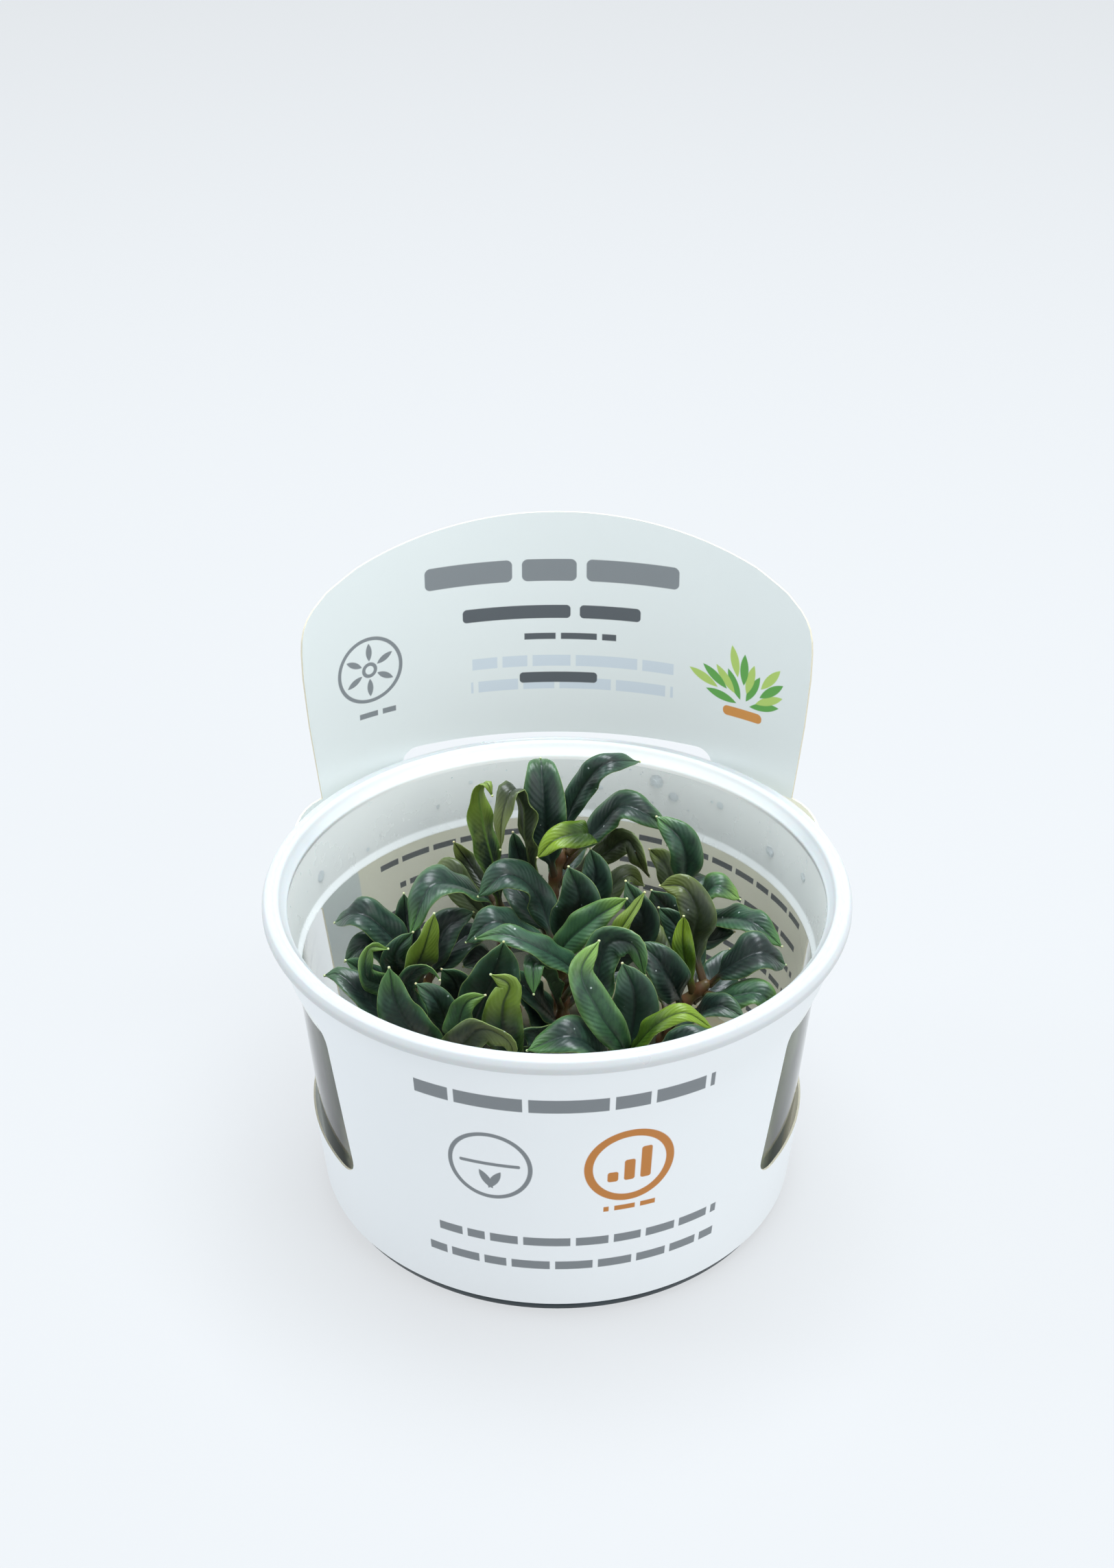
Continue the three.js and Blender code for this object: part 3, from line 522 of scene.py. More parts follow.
def wordRows(tree, place, left, bottom, right, top, pitch, height, wordLength, seed):
    # rows of word-long bars: each row has its own word gaps and ends ragged
    split = addNode(tree, "ShaderNodeSeparateXYZ", None, {0: place})
    fromTop = addNode(tree, "ShaderNodeMath", {"operation": "SUBTRACT", 0: top}, {1: split.outputs[1]})
    rows = addNode(tree, "ShaderNodeMath", {"operation": "DIVIDE", 1: pitch}, {0: fromTop})
    row = addNode(tree, "ShaderNodeMath", {"operation": "FLOOR"}, {0: rows})
    within = addNode(tree, "ShaderNodeMath", {"operation": "FRACT"}, {0: rows})
    fromMiddle = addNode(tree, "ShaderNodeMath", {"operation": "SUBTRACT", 1: 0.5}, {0: within})
    offMiddle = addNode(tree, "ShaderNodeMath", {"operation": "ABSOLUTE"}, {0: fromMiddle})
    band = addNode(tree, "ShaderNodeMapRange", {
        "From Min": (height / 2 + inkEdge) / pitch, "From Max": (height / 2 - inkEdge) / pitch},
        {"Value": offMiddle})
    rowSeed = addNode(tree, "ShaderNodeMath", {"operation": "MULTIPLY_ADD", 1: 7.31, 2: seed}, {0: row})
    across = addNode(tree, "ShaderNodeMath", {"operation": "MULTIPLY_ADD", 1: 1 / wordLength},
                     {0: split.outputs[0], 2: rowSeed})
    gaps = addNode(tree, "ShaderNodeTexVoronoi", {
        "voronoi_dimensions": "1D", "feature": "DISTANCE_TO_EDGE", "Scale": 1, "Randomness": 0.85},
        {"W": across})
    # words stand about a millimetre apart
    word = addNode(tree, "ShaderNodeMapRange", {
        "From Min": 0.42 / wordLength, "From Max": 0.56 / wordLength}, {"Value": gaps.outputs["Distance"]})
    ragged = addNode(tree, "ShaderNodeTexWhiteNoise", {"noise_dimensions": "1D"}, {"W": rowSeed})
    shortBy = addNode(tree, "ShaderNodeMath", {"operation": "MULTIPLY_ADD", 1: 1.4 * wordLength, 2: left},
                      {0: ragged.outputs["Value"]})
    ends = addNode(tree, "ShaderNodeMath", {"operation": "GREATER_THAN"}, {0: split.outputs[0], 1: shortBy})
    mask = barMask(tree, place, left, bottom, right, top, 0.2)
    for part in (band, word, ends):
        mask = addNode(tree, "ShaderNodeMath", {"operation": "MULTIPLY"}, {0: mask, 1: part})
    return mask.outputs[0]


def sheetPlace(tree):
    # the flat sheet's own millimetres: along it from the back's middle, and up
    uv = addNode(tree, "ShaderNodeUVMap", {"uv_map": "sheet"})
    place = addNode(tree, "ShaderNodeVectorMath", {
        "operation": "MULTIPLY_ADD", 1: (*sheetSpan, 0), 2: (sheetStart, 0, 0)}, {0: uv})
    return place.outputs[0]


def frontPlace(tree, place):
    # the same, measured from the middle of the front and growing to the viewer's right
    turned = addNode(tree, "ShaderNodeVectorMath", {
        "operation": "MULTIPLY_ADD", 1: (-1, 1, 0),
        2: (-math.pi * labelForm["topRadius"], 0, 0)}, {0: place})
    return turned.outputs[0]


def fannedLeaflet(foot, reach, degrees, length, width):
    # sizes of a leaflet that points away from its foot
    turn = math.radians(degrees)
    centre = (foot[0] + reach * math.cos(turn), foot[1] + reach * math.sin(turn))
    return centre, length, width, turn


# Marks on the flat sheet: ink, shape and sizes in millimetres. A bar has left, bottom, right, top and
# corner, rows have line pitch, bar height, word length and seed after their box, and a ring has centre,
# radius and stroke.
frontMarks = [
    ("grey", wordRows, (-27, 46.2, 27, 51.4, 5.2, 2.8, 11, 2.4)),
    ("orange", ringMask, ((12.5, 34.5), 7.2, 1.5)),
    ("grey", ringMask, ((-11.5, 34.5), 7, 0.8)),
    *[("orange", barMask, (8.6 + i * 2.9, 31.2, 10.5 + i * 2.9, 33.4 + i * 2.4, 0.5)) for i in range(3)],
    ("grey", barMask, (-16.8, 34.6, -6.2, 35.3, 0.3)),
    *[("grey", leafletMask, fannedLeaflet((-11.5, 30.1), 1.5, lean, 4.6, 1.5)) for lean in (60, 120)],
    ("orange", wordRows, (7, 24.2, 18, 25.8, 1.6, 1.1, 5, 8.1)),
    ("grey", wordRows, (-31, 9.4, 31, 20.6, 5.6, 1.9, 6.8, 5.7)),
]
backMarks = [
    ("grey", wordRows, (-40, 35, 6, 39.2, 4.2, 2, 7.5, 3.3)),
    ("grey", wordRows, (-40, 15.2, -3, 32, 2.8, 0.9, 4.6, 6.1)),
    ("grey", wordRows, (3, 18, 40, 32, 2.8, 0.9, 4.4, 8.7)),
    ("grey", wordRows, (-40, 8, 40, 11, 3, 1.1, 5.5, 1.4)),
]
insideMarks = [
    # the part behind the cup is warm beige with rows of its own
    ("inside", barMask, (-44.5, 0, 90, 56.8, 0.5)),
    # the tab's face towards the viewer: a heading, short lines and a round flower
    *[("grey", barMask, (left, 93.2, right, 97.6, 1.1))
      for left, right in ((-24.5, -8.2), (-6.4, 3.6), (5.4, 22.6))],
    *[("dark", barMask, (left, 85.6, right, 88.3, 0.8)) for left, right in ((-17.5, 2.5), (4.2, 15.5))],
    ("dark", wordRows, (-12, 81, 11, 82.8, 1.8, 1.3, 6, 1.9)),
    ("faint", wordRows, (-21, 69.6, 22, 79.2, 4.8, 2.3, 9, 4.4)),
    ("dark", barMask, (-7, 72.2, 7.5, 74.4, 0.7)),
    *[("grey", ringMask, ((-36, 80), radius, 0.7)) for radius in (6.3, 1.2)],
    *[("grey", leafletMask, fannedLeaflet((-36, 80), 3.6, 60 * i + 30, 3.6, 1.2)) for i in range(6)],
    ("grey", wordRows, (-41, 70, -31, 71.6, 1.6, 1.1, 4.5, 6.2)),
    # a plain potted sprig on its right
    ("soil", barMask, (32, 69.8, 40, 71.8, 0.9)),
    *[(("leafGreen", "paleGreen")[i % 2], leafletMask,
       fannedLeaflet((36, 72.4), 4.6 + 1.5 * (i * 5 % 4), 15 + 12.5 * i, 6.4, 1.7)) for i in range(13)],
    ("insideInk", wordRows, (-42, 44, -3, 49.2, 5.2, 1.9, 9, 1.2)),
    ("insideInk", wordRows, (-42, 12.8, -3, 44, 5.2, 1.15, 6, 4.2)),
    ("insideInk", wordRows, (6, 44, 62, 49.2, 5.2, 1.9, 9, 9.4)),
    ("insideInk", wordRows, (6, 12.8, 62, 44, 5.2, 1.15, 6, 12.4)),
]


def printMarks(tree, place, marks):
    # colour layers of printed marks
    return [(inks[ink], shape(tree, place, *sizes)) for ink, shape, sizes in marks]


def labelMaterials():
    # Coated label paper, offset printed: smooth satin white with crisp matt inks
    outer, tree, shader, solid = newMaterial("coatedLabelPaper", {"IOR": 1.5})
    place = sheetPlace(tree)
    layers = printMarks(tree, frontPlace(tree, place), frontMarks) + printMarks(tree, place, backMarks)
    connect(tree, shader, {"Base Color": paintLayers(tree, inks["paper"], layers)})
    finishPaper(tree, shader, solid, 0.34)

    # Uncoated inside: the tab shows cool white to the viewer
    inner, tree, shader, solid = newMaterial("uncoatedLabelBack", {"IOR": 1.45, "Emission Strength": 0.3})
    place = sheetPlace(tree)
    # painted shade: low behind the plant the sheet is darkened, standing for the shade of its roots and
    # stems
    split = addNode(tree, "ShaderNodeSeparateXYZ", None, {0: place})
    sideways = addNode(tree, "ShaderNodeMath", {"operation": "ABSOLUTE"}, {0: split.outputs[0]})
    behind = addNode(tree, "ShaderNodeMapRange", {"From Min": 34, "From Max": 20}, {"Value": sideways})
    low = addNode(tree, "ShaderNodeMapRange", {"From Min": 34, "From Max": 20, "To Max": 0.8},
                  {"Value": split.outputs[1]})
    shaded = addNode(tree, "ShaderNodeMath", {"operation": "MULTIPLY"}, {0: behind, 1: low})
    layers = printMarks(tree, place, insideMarks) + [(inks["shade"], shaded)]
    color = paintLayers(tree, inks["tab"], layers)
    # painted light: the emission stands for daylight that comes through the sheet from outside
    connect(tree, shader, {"Base Color": color, "Emission Color": color})
    finishPaper(tree, shader, solid, 0.55)

    # Cut edge of the paper: dull, fibrous and a little darker
    edge, tree, shader, place = newMaterial("cutPaperEdge", {"Roughness": 0.8})
    fibre = addNode(tree, "ShaderNodeTexNoise", {"Scale": 1800, "Detail": 2}, {"Vector": place})
    connect(tree, shader, {"Base Color": paintLayers(tree, "#dcd6c2", [(inks["cardEdge"], fibre)])})
    return [outer, inner, edge]


def finishPaper(tree, shader, place, roughness):
    # paper fibres about a millimetre apart, drawn coarser than they are so that they show
    fibre = addNode(tree, "ShaderNodeTexNoise", {"Scale": 900, "Detail": 3, "Roughness": 0.6},
                    {"Vector": place})
    rough = addNode(tree, "ShaderNodeMapRange", {"To Min": roughness - 0.06, "To Max": roughness + 0.08},
                    {"Value": fibre})
    wave = addNode(tree, "ShaderNodeTexNoise", {"Scale": 25, "Detail": 1}, {"Vector": place})
    slow = addNode(tree, "ShaderNodeBump", {"Strength": 0.2, "Distance": 0.0006}, {"Height": wave})
    bump = addNode(tree, "ShaderNodeBump", {"Strength": 0.12, "Distance": 0.00005},
                   {"Height": fibre, "Normal": slow})
    connect(tree, shader, {"Roughness": rough, "Normal": bump})


buildLabel()
print("label cut, bent and printed")

# Leaves: centre line, upper face at base and tip, width in millimetres, tone
lookUp = ((0, -0.3, 1), (0, -0.5, 1))
lookFront = ((0, -1, 0.2), (0, -1, 0.3))
shoots = {
    "back": {
        "path": [(1, 13, 12), (0, 17, 28), (-1, 21, 42), (1, 25, 51)],
        "leaves": [
            ([(0, 22, 44), (-2, 22, 55), (-2.5, 23, 64), (-2.8, 25.5, 68), (-3, 29.5, 67)],
             ((0, -1, 0.1), (0, 0.1, 1)), 8, "mid"),
            ([(1, 25, 49), (2, 27, 56), (5, 27, 63), (9, 26, 68), (15, 30, 66)],
             ((0, -1, 0.3), (-0.3, -0.6, 1)), 5, "dark"),
            ([(1, 24, 47), (8, 27, 54), (12, 26, 59), (16, 25, 58), (20, 26, 54)],
             ((-0.6, -0.6, 1), (0, -0.3, 0.6)), 6.5, "mid"),
            ([(0, 23, 44), (9, 26, 49), (13, 24, 53), (15, 22, 50), (17, 24, 45)],
             ((-0.6, -1, 0.3), (-0.6, -0.6, 0)), 5, "olive"),
            ([(2, 24, 50), (5.5, 23, 54.5), (4.5, 19, 57.5), (-0.5, 16, 58), (-3.5, 15, 55)],
             ((0.6, 0.4, 0), (-0.3, -1, 1)), 5.5, "young"),
            ([(-2, 20, 41), (-5.5, 19, 56), (-6, 18, 64.5), (-8, 16, 68.5), (-9.5, 14, 65), (-10, 13, 58)],
             ((0.7, 0.6, 0.2), (-0.4, -0.4, 1)), 5, "olive"),
            ([(-1, 20, 40), (6, 17, 45), (7, 17, 50), (6, 18, 55)], lookFront, 6.5, "dark"),
            ([(-1, 21, 41), (2, 30, 46), (4, 38, 42)], ((0, 0, 1), (0, 0.3, 1)), 6.5, "dark"),
        ],
        "fused": [
            ([(0, 19, 36), (8, 21, 42), (13, 23, 46), (16, 24, 43)], lookUp, 5, "olive"),
            ([(-1, 19, 34), (-6, 23, 41), (-10, 27, 43)], lookUp, 7, "dark"),
            ([(-1, 20.5, 39), (-6, 23, 47), (-8, 23.5, 55)], lookFront, 4.5, "dark"),
        ],
    },
    "back_left": {
        "path": [(-7, 14, 12), (-9, 18, 28), (-11, 21, 42)],
        "leaves": [
            ([(-10, 19.5, 37), (-11.5, 20, 49), (-13.5, 21, 59), (-14, 21, 65.5),
              (-12.5, 20, 67.5), (-11.5, 19, 65.5)],
             ((-0.7, 0.7, -0.2), (-0.2, 0.2, 1)), 5.5, "turning"),
            ([(-10, 20, 34), (-17, 21, 43), (-20, 23, 47), (-24, 25, 44)], lookUp, 5.5, "olive"),
            ([(-10, 20, 36), (-15, 14, 48), (-22, 9, 53), (-26, 5, 45)],
             ((0.6, 0.4, 0), (-0.6, -0.6, 1)), 8, "mid"),
            ([(-10, 19, 33), (-15, 28, 41), (-19, 34, 41)], ((0, 0, 1), (-0.2, 0.3, 1)), 6.5, "dark"),
        ],
        "fused": [
            ([(-11, 21, 41), (-16, 27, 45.5), (-19, 28, 50)], lookFront, 4, "olive"),
            ([(-9, 18, 28), (-14, 14, 33), (-17, 11, 34)], lookUp, 7, "dark"),
        ],
    },
    "left": {
        "path": [(-15, 6, 12), (-21, 7, 22), (-25, 8, 34)],
        "leaves": [
            ([(-25, 8, 33), (-29, 9, 41), (-35, 9, 47), (-40, 12, 43)], lookUp, 7, "dark"),
            ([(-24, 8, 31), (-25, -1, 41), (-23, -4, 49), (-21, -4, 56)],
             ((0.5, -0.9, 0.1), (0.5, -0.9, 0.3)), 6.5, "turning"),
            ([(-25, 8, 32), (-28, 2, 40), (-28, -1, 46), (-25, -1, 50)], lookFront, 5.5, "dark"),
            ([(-24, 5.5, 29.5), (-30, -3, 40), (-33, -8, 46), (-32, -7, 51), (-29, -6, 50)],
             ((0.6, -0.6, 0.3), (0.6, -0.6, 0)), 4, "light"),
            ([(-22, 7, 25), (-28, -4, 32), (-34.5, -6, 41), (-38, -4.5, 43.5), (-40.5, -3.5, 42.5)],
             ((1, 0, 0.6), (0.3, -0.4, 1)), 8, "dark"),
        ],
        "fused": [
            ([(-25, 8, 30), (-30, 9, 37), (-34, 8, 41), (-38, 7, 38)], lookUp, 6, "dark"),
            ([(-24, 7, 28), (-31, 3, 36), (-37, -1, 44)], lookUp, 5.5, "dark"),
            ([(-24, 8, 32), (-18, 13, 38), (-13, 18, 38)], lookUp, 7, "dark"),
            ([(-23.5, 8, 32), (-20, 11, 42.5), (-15, 12.5, 45)],
             ((-0.3, -1, 1), (-0.3, -0.6, 1)), 7, "dark"),
            ([(-24, 8, 30), (-27, 13, 40), (-27.5, 14, 48)], lookFront, 5, "dark"),
        ],
    },
    "front_left": {
        "path": [(-11, -4, 12), (-15, -8, 20), (-18, -10, 31)],
        "leaves": [
            ([(-17, -10, 27), (-23, -15, 37), (-27, -17, 46), (-28, -17, 54)], lookFront, 8, "mid"),
            ([(-17, -10, 28), (-19, -11, 38), (-21, -12, 44), (-24, -12, 47)],
             ((-0.2, -0.6, 1), (-0.2, -0.6, 1)), 6, "dark"),
            ([(-17, -9, 28), (-14, -8, 37), (-11, -9, 46), (-9, -11, 55)],
             ((0.2, -1, 0.4), (0.2, -1, 0.4)), 10, "dark"),
            ([(-17, -10, 28), (-17, -15, 39), (-15, -17, 47), (-12, -18, 49)],
             ((-0.6, -1, -0.5), (-0.3, -0.6, 0)), 5, "light"),
            ([(-16, -9, 23), (-18, -20, 37), (-12, -26, 48), (-8, -28, 47), (-7, -28, 43)],
             ((-1, -1, -0.5), (-0.3, -0.6, 0)), 6, "olive"),
        ],
        "fused": [
            ([(-18, -10, 30), (-26, -7, 43), (-22, -10, 49), (-20, -11, 47)],
             ((0.3, -1, 0.3), (-0.6, -1, -0.5)), 3.5, "mid"),
            ([(-16, -8, 22), (-22, -9, 28), (-28, -9, 30)], lookUp, 7, "dark"),
            ([(-17, -9, 26), (-17, -3, 36), (-18, -4, 42), (-20, -5, 45)], lookFront, 8, "dark"),
        ],
    },
    "front": {
        "path": [(-3, -6, 12), (-5, -10, 20), (-6, -12, 32)],
        "leaves": [
            ([(-6, -12, 28), (-9, -17, 40), (-9, -19, 48), (-8, -19, 52), (-11, -19, 54)],
             ((0, -1, 0), (0, -1, 0)), 7, "turning"),
        ],
        "fused": [
            ([(-6, -12, 25), (-6, -18, 32), (-3, -23, 37)], lookUp, 6, "dark"),
            ([(-6, -12, 30), (-3, -14, 38), (-6, -17, 41)], ((0.6, -1, -0.5), (0.6, -1, -0.5)), 6, "dark"),
            ([(-5, -11, 22), (0, -15, 28), (4, -19, 30)], lookUp, 7, "dark"),
        ],
    },
    "front_right": {
        "path": [(6, -8, 12), (9, -13, 20), (11, -15, 33)],
        "leaves": [
            ([(11, -15, 31), (13, -14, 40), (13, -14, 47), (11, -13, 52)], lookFront, 8.5, "dark"),
            ([(11, -15, 32), (11, -19, 39), (7, -20, 47), (4, -18, 54), (7, -15, 58)],
             ((0.3, -1, 0.3), (0.2, -0.8, 0.8)), 6, "light"),
            ([(11, -15, 30), (13, -20, 39), (17, -23, 47), (21, -23, 49), (26, -22, 45)],
             lookUp, 4.2, "young"),
            ([(10, -14, 26), (18, -19, 36), (23, -20, 42), (28, -19, 40)], lookUp, 6, "dark"),
            ([(10, -14, 28), (7, -8, 42), (9, -7, 52), (13, -9, 53), (15, -11, 48)],
             ((-0.6, -1, 0), (-0.6, -1, 0.3)), 7, "mid"),
            ([(10, -14, 27), (7, -21, 39), (2, -24, 45), (-5, -24, 42)],
             ((1, 0, 0.3), (0.3, -0.3, 1)), 8.5, "mid"),
        ],
        "fused": [],
    },
    "centre": {
        "path": [(1, 2, 12), (1, 5, 25), (1, 8, 38)],
        "leaves": [
            ([(1, 8, 37), (2, 8, 45), (4, 6, 52), (2, 6, 59)], lookFront, 8.5, "dark"),
            ([(1, 8, 35), (1, 4, 43), (6, 1, 51), (12, -1, 57)],
             ((-0.3, -0.8, 0.8), (-0.3, -0.8, 0.8)), 6, "light"),
            ([(1, 7, 33), (7, -1, 44), (11, -3, 52), (15, -2, 59)],
             ((-1, -0.6, 0), (-1, -1, 0.6)), 4, "turning"),
            ([(1, 7, 32), (-5, 7, 42), (-11, 2, 50), (-16, 3, 45)], lookUp, 8, "dark"),
            ([(0, 9.5, 37), (-3.5, 14, 47), (-9, 11, 54), (-14, 10, 50)], lookUp, 7.5, "dark"),
            ([(1, 6, 30), (3, -2, 42), (-3, -6, 50), (-9, -6, 53), (-14, -3, 50)],
             ((1, -0.3, 0.3), (-0.3, -0.3, 1)), 5.5, "mid"),
            ([(1, 6, 28), (-2, -2, 42), (-4, -8, 48), (-4, -11, 44)],
             ((0.3, 0.4, 0), (0, -0.3, 1)), 5.5, "mid"),
            ([(1, 7, 30), (10, 7, 40), (15, 5, 48), (12, 6, 56)], lookFront, 7.5, "dark"),
        ],
        "fused": [
            ([(1, 4, 21), (-4, 2, 32), (-7, 1, 38)], lookUp, 7, "dark"),
            ([(1, 3, 17), (-5, -2, 26), (-10, -5, 29)], lookUp, 8, "dark"),
            ([(1, 4, 21), (7, -1, 29), (11, -5, 32)], lookUp, 8, "dark"),
            ([(1, 6, 28), (8, 10, 33), (13, 12, 34)], lookUp, 7, "dark"),
            ([(1, 5, 24), (-4, -1, 36), (-8, -3, 43)], ((0.3, 0, 0.6), (1, -0.6, 0.6)), 7, "dark"),
        ],
    },
    "right": {
        "path": [(13, 3, 12), (18, 1, 22), (22, -1, 34), (27, 0, 39)],
        "leaves": [
            ([(26, 0, 38), (24, 3, 45), (24.5, 3, 51), (22, 4, 56), (18, 6, 55)],
             ((0.1, -0.9, 0.6), (0.1, -0.9, 0.6)), 6.5, "olive"),
            ([(27, 0, 38), (30, -2, 43), (35, -3, 47), (40, -1, 43)], lookUp, 8, "dark"),
            ([(26, -0.5, 36.5), (30, -7, 40.5), (35, -9, 42.5), (38, -10, 38.5)], lookUp, 6, "light"),
            ([(22, -1, 34), (20, -5, 42), (17, -6, 48), (14, -4, 50)],
             ((0.6, -1, 0.3), (0.3, -0.6, 0.3)), 7.5, "dark"),
            ([(24, 0, 36), (24, 6, 40), (21, 7, 46), (18, 8, 49)],
             ((0, -0.8, 0.6), (0, -0.8, 0.6)), 6, "dark"),
            ([(20, 0, 30), (18, 8, 36), (17, 12, 41), (15, 14, 41)], lookUp, 7, "olive"),
            ([(20, 0, 27), (24, -8, 37), (28, -13, 43), (32, -15, 42)], lookUp, 7, "dark"),
        ],
        "fused": [
            ([(24, -1, 37), (22, 0, 46), (22, 1, 52)], lookFront, 4, "young"),
            ([(19, 1, 24), (28, -6, 29), (35, -10, 30)], lookUp, 5, "dark"),
            ([(18, 1, 22), (13, -5, 27), (10, -8, 28)], lookUp, 7, "dark"),
            ([(24, -1, 35), (28.5, 3, 36.5), (31, 8, 40)], lookUp, 7, "dark"),
        ],
    },
    "back_right": {
        "path": [(11, 12, 12), (18, 18, 22), (21, 21, 36), (22, 22, 42)],
        "leaves": [
            ([(22, 22, 41), (23.5, 23, 45), (22.5, 22, 54), (18, 24, 58)],
             ((0.2, -0.9, 0.6), (0.2, -0.9, 0.6)), 6.5, "mid"),
            ([(22, 22, 39), (26, 17, 45), (29, 15, 49), (33, 15, 46)], lookUp, 6, "light"),
            ([(22, 21, 36), (29, 16, 41), (35, 9, 45), (40, 6, 42)], lookUp, 6.5, "mid"),
            ([(21, 21, 34), (25, 29, 41), (28, 33, 39)], ((0, 0, 1), (0.2, 0.3, 1)), 6.5, "dark"),
        ],
        "fused": [
            ([(22, 22, 40), (20, 26, 46), (17, 27, 49)], lookUp, 5, "olive"),
            ([(21, 21, 33), (28, 15, 37), (32, 12, 41)], lookUp, 5, "dark"),
            ([(20, 20, 33), (20, 17, 42), (17, 15, 48)], lookFront, 6, "dark"),
        ],
    },
}

leafForm = {
    "lengthSteps": 44, "widthSteps": 14, "petioleShare": 0.2, "petioleWidth": 1.5, "tipWidth": 0.5,
    "petioleThickness": 1.1, "bladeThickness": 0.42, "marginThickness": 0.14, "fold": 0.42,
    "droop": 0.24, "groove": 0.2, "grooveShare": 0.1, "rib": 0.28, "ribShare": 0.12,
    "waveHeight": 0.5, "waveLength": 7.5, "swayUp": 0.25, "swayAcross": 0.06,
    "bladeStart": 0.12, "bladeFull": 0.34, "tipStart": 0.93, "tipNarrowing": 0.55, "tipBead": 0.27,
    "veinSpacing": 1.3, "veinSlant": 4.5,
}
leafTones = {
    # darkest middle, body, margin, underside, tip, share of the length where the tip's colour sets in
    "dark": ("#182522", "#2a4438", "#42654a", "#4c6049", "#4a6f4a", 0.8),
    "mid": ("#1e312b", "#335540", "#4c774a", "#566b4e", "#5a8848", 0.78),
    "light": ("#274133", "#426a47", "#66914f", "#688252", "#7fa64c", 0.74),
    "olive": ("#29341f", "#434f31", "#58683a", "#626b45", "#6e7c3a", 0.7),
    "young": ("#2b4312", "#426014", "#66861c", "#566d28", "#829f2c", 0.6),
    "turning": ("#1c2e22", "#33522f", "#5f8433", "#62743c", "#7c9636", 0.55),
}


def centreLine(points):
    # smooth line through given points: centripetal Catmull-Rom, sampled evenly along its length
    knots = [Vector(p) for p in points]
    knots = [2 * knots[0] - knots[1], *knots, 2 * knots[-1] - knots[-2]]
    spanSteps, steps = 60, 200
    samples = []
    for p0, p1, p2, p3 in zip(knots, knots[1:], knots[2:], knots[3:]):
        d0, d1, d2 = [math.sqrt((b - a).length) for a, b in ((p0, p1), (p1, p2), (p2, p3))]
        start = ((p1 - p0) / d0 - (p2 - p0) / (d0 + d1) + (p2 - p1) / d1) * d1
        end = ((p2 - p1) / d1 - (p3 - p1) / (d1 + d2) + (p3 - p2) / d2) * d1
        for i in range(spanSteps):
            t = i / spanSteps
            cubic = (2 * p1 - 2 * p2 + start + end) * t ** 3
            square = (3 * p2 - 3 * p1 - 2 * start - end) * t ** 2
            samples.append(p1 + start * t + square + cubic)
    samples.append(knots[-2])
    reach = [0]
    for a, b in zip(samples, samples[1:]):
        reach.append(reach[-1] + (b - a).length)
    even = []
    k = 0
    for i in range(steps + 1):
        target = reach[-1] * i / steps
        while k < len(samples) - 2 and reach[k + 1] < target:
            k += 1
        span = max(reach[k + 1] - reach[k], 1e-9)
        even.append(samples[k].lerp(samples[k + 1], min((target - reach[k]) / span, 1)))
    return even, reach[-1]


def lineAt(line, share):
    # point and direction of an evenly sampled line at a share of its length
    steps = len(line) - 1
    k = min(int(share * steps), steps - 1)
    before, after = line[max(k - 1, 0)], line[min(k + 2, steps)]
    return line[k].lerp(line[k + 1], share * steps - k), (after - before).normalized()


def leafHalfWidth(share, width):
    f = leafForm
    blade = max((share - f["petioleShare"]) / (1 - f["petioleShare"]), 0)
    bulge = max(math.sin(math.pi * blade ** 0.85), 0) ** 0.75
    stalk = mix(f["petioleWidth"], f["tipWidth"], share) / 2
    return stalk + (width / 2 - stalk) * bulge


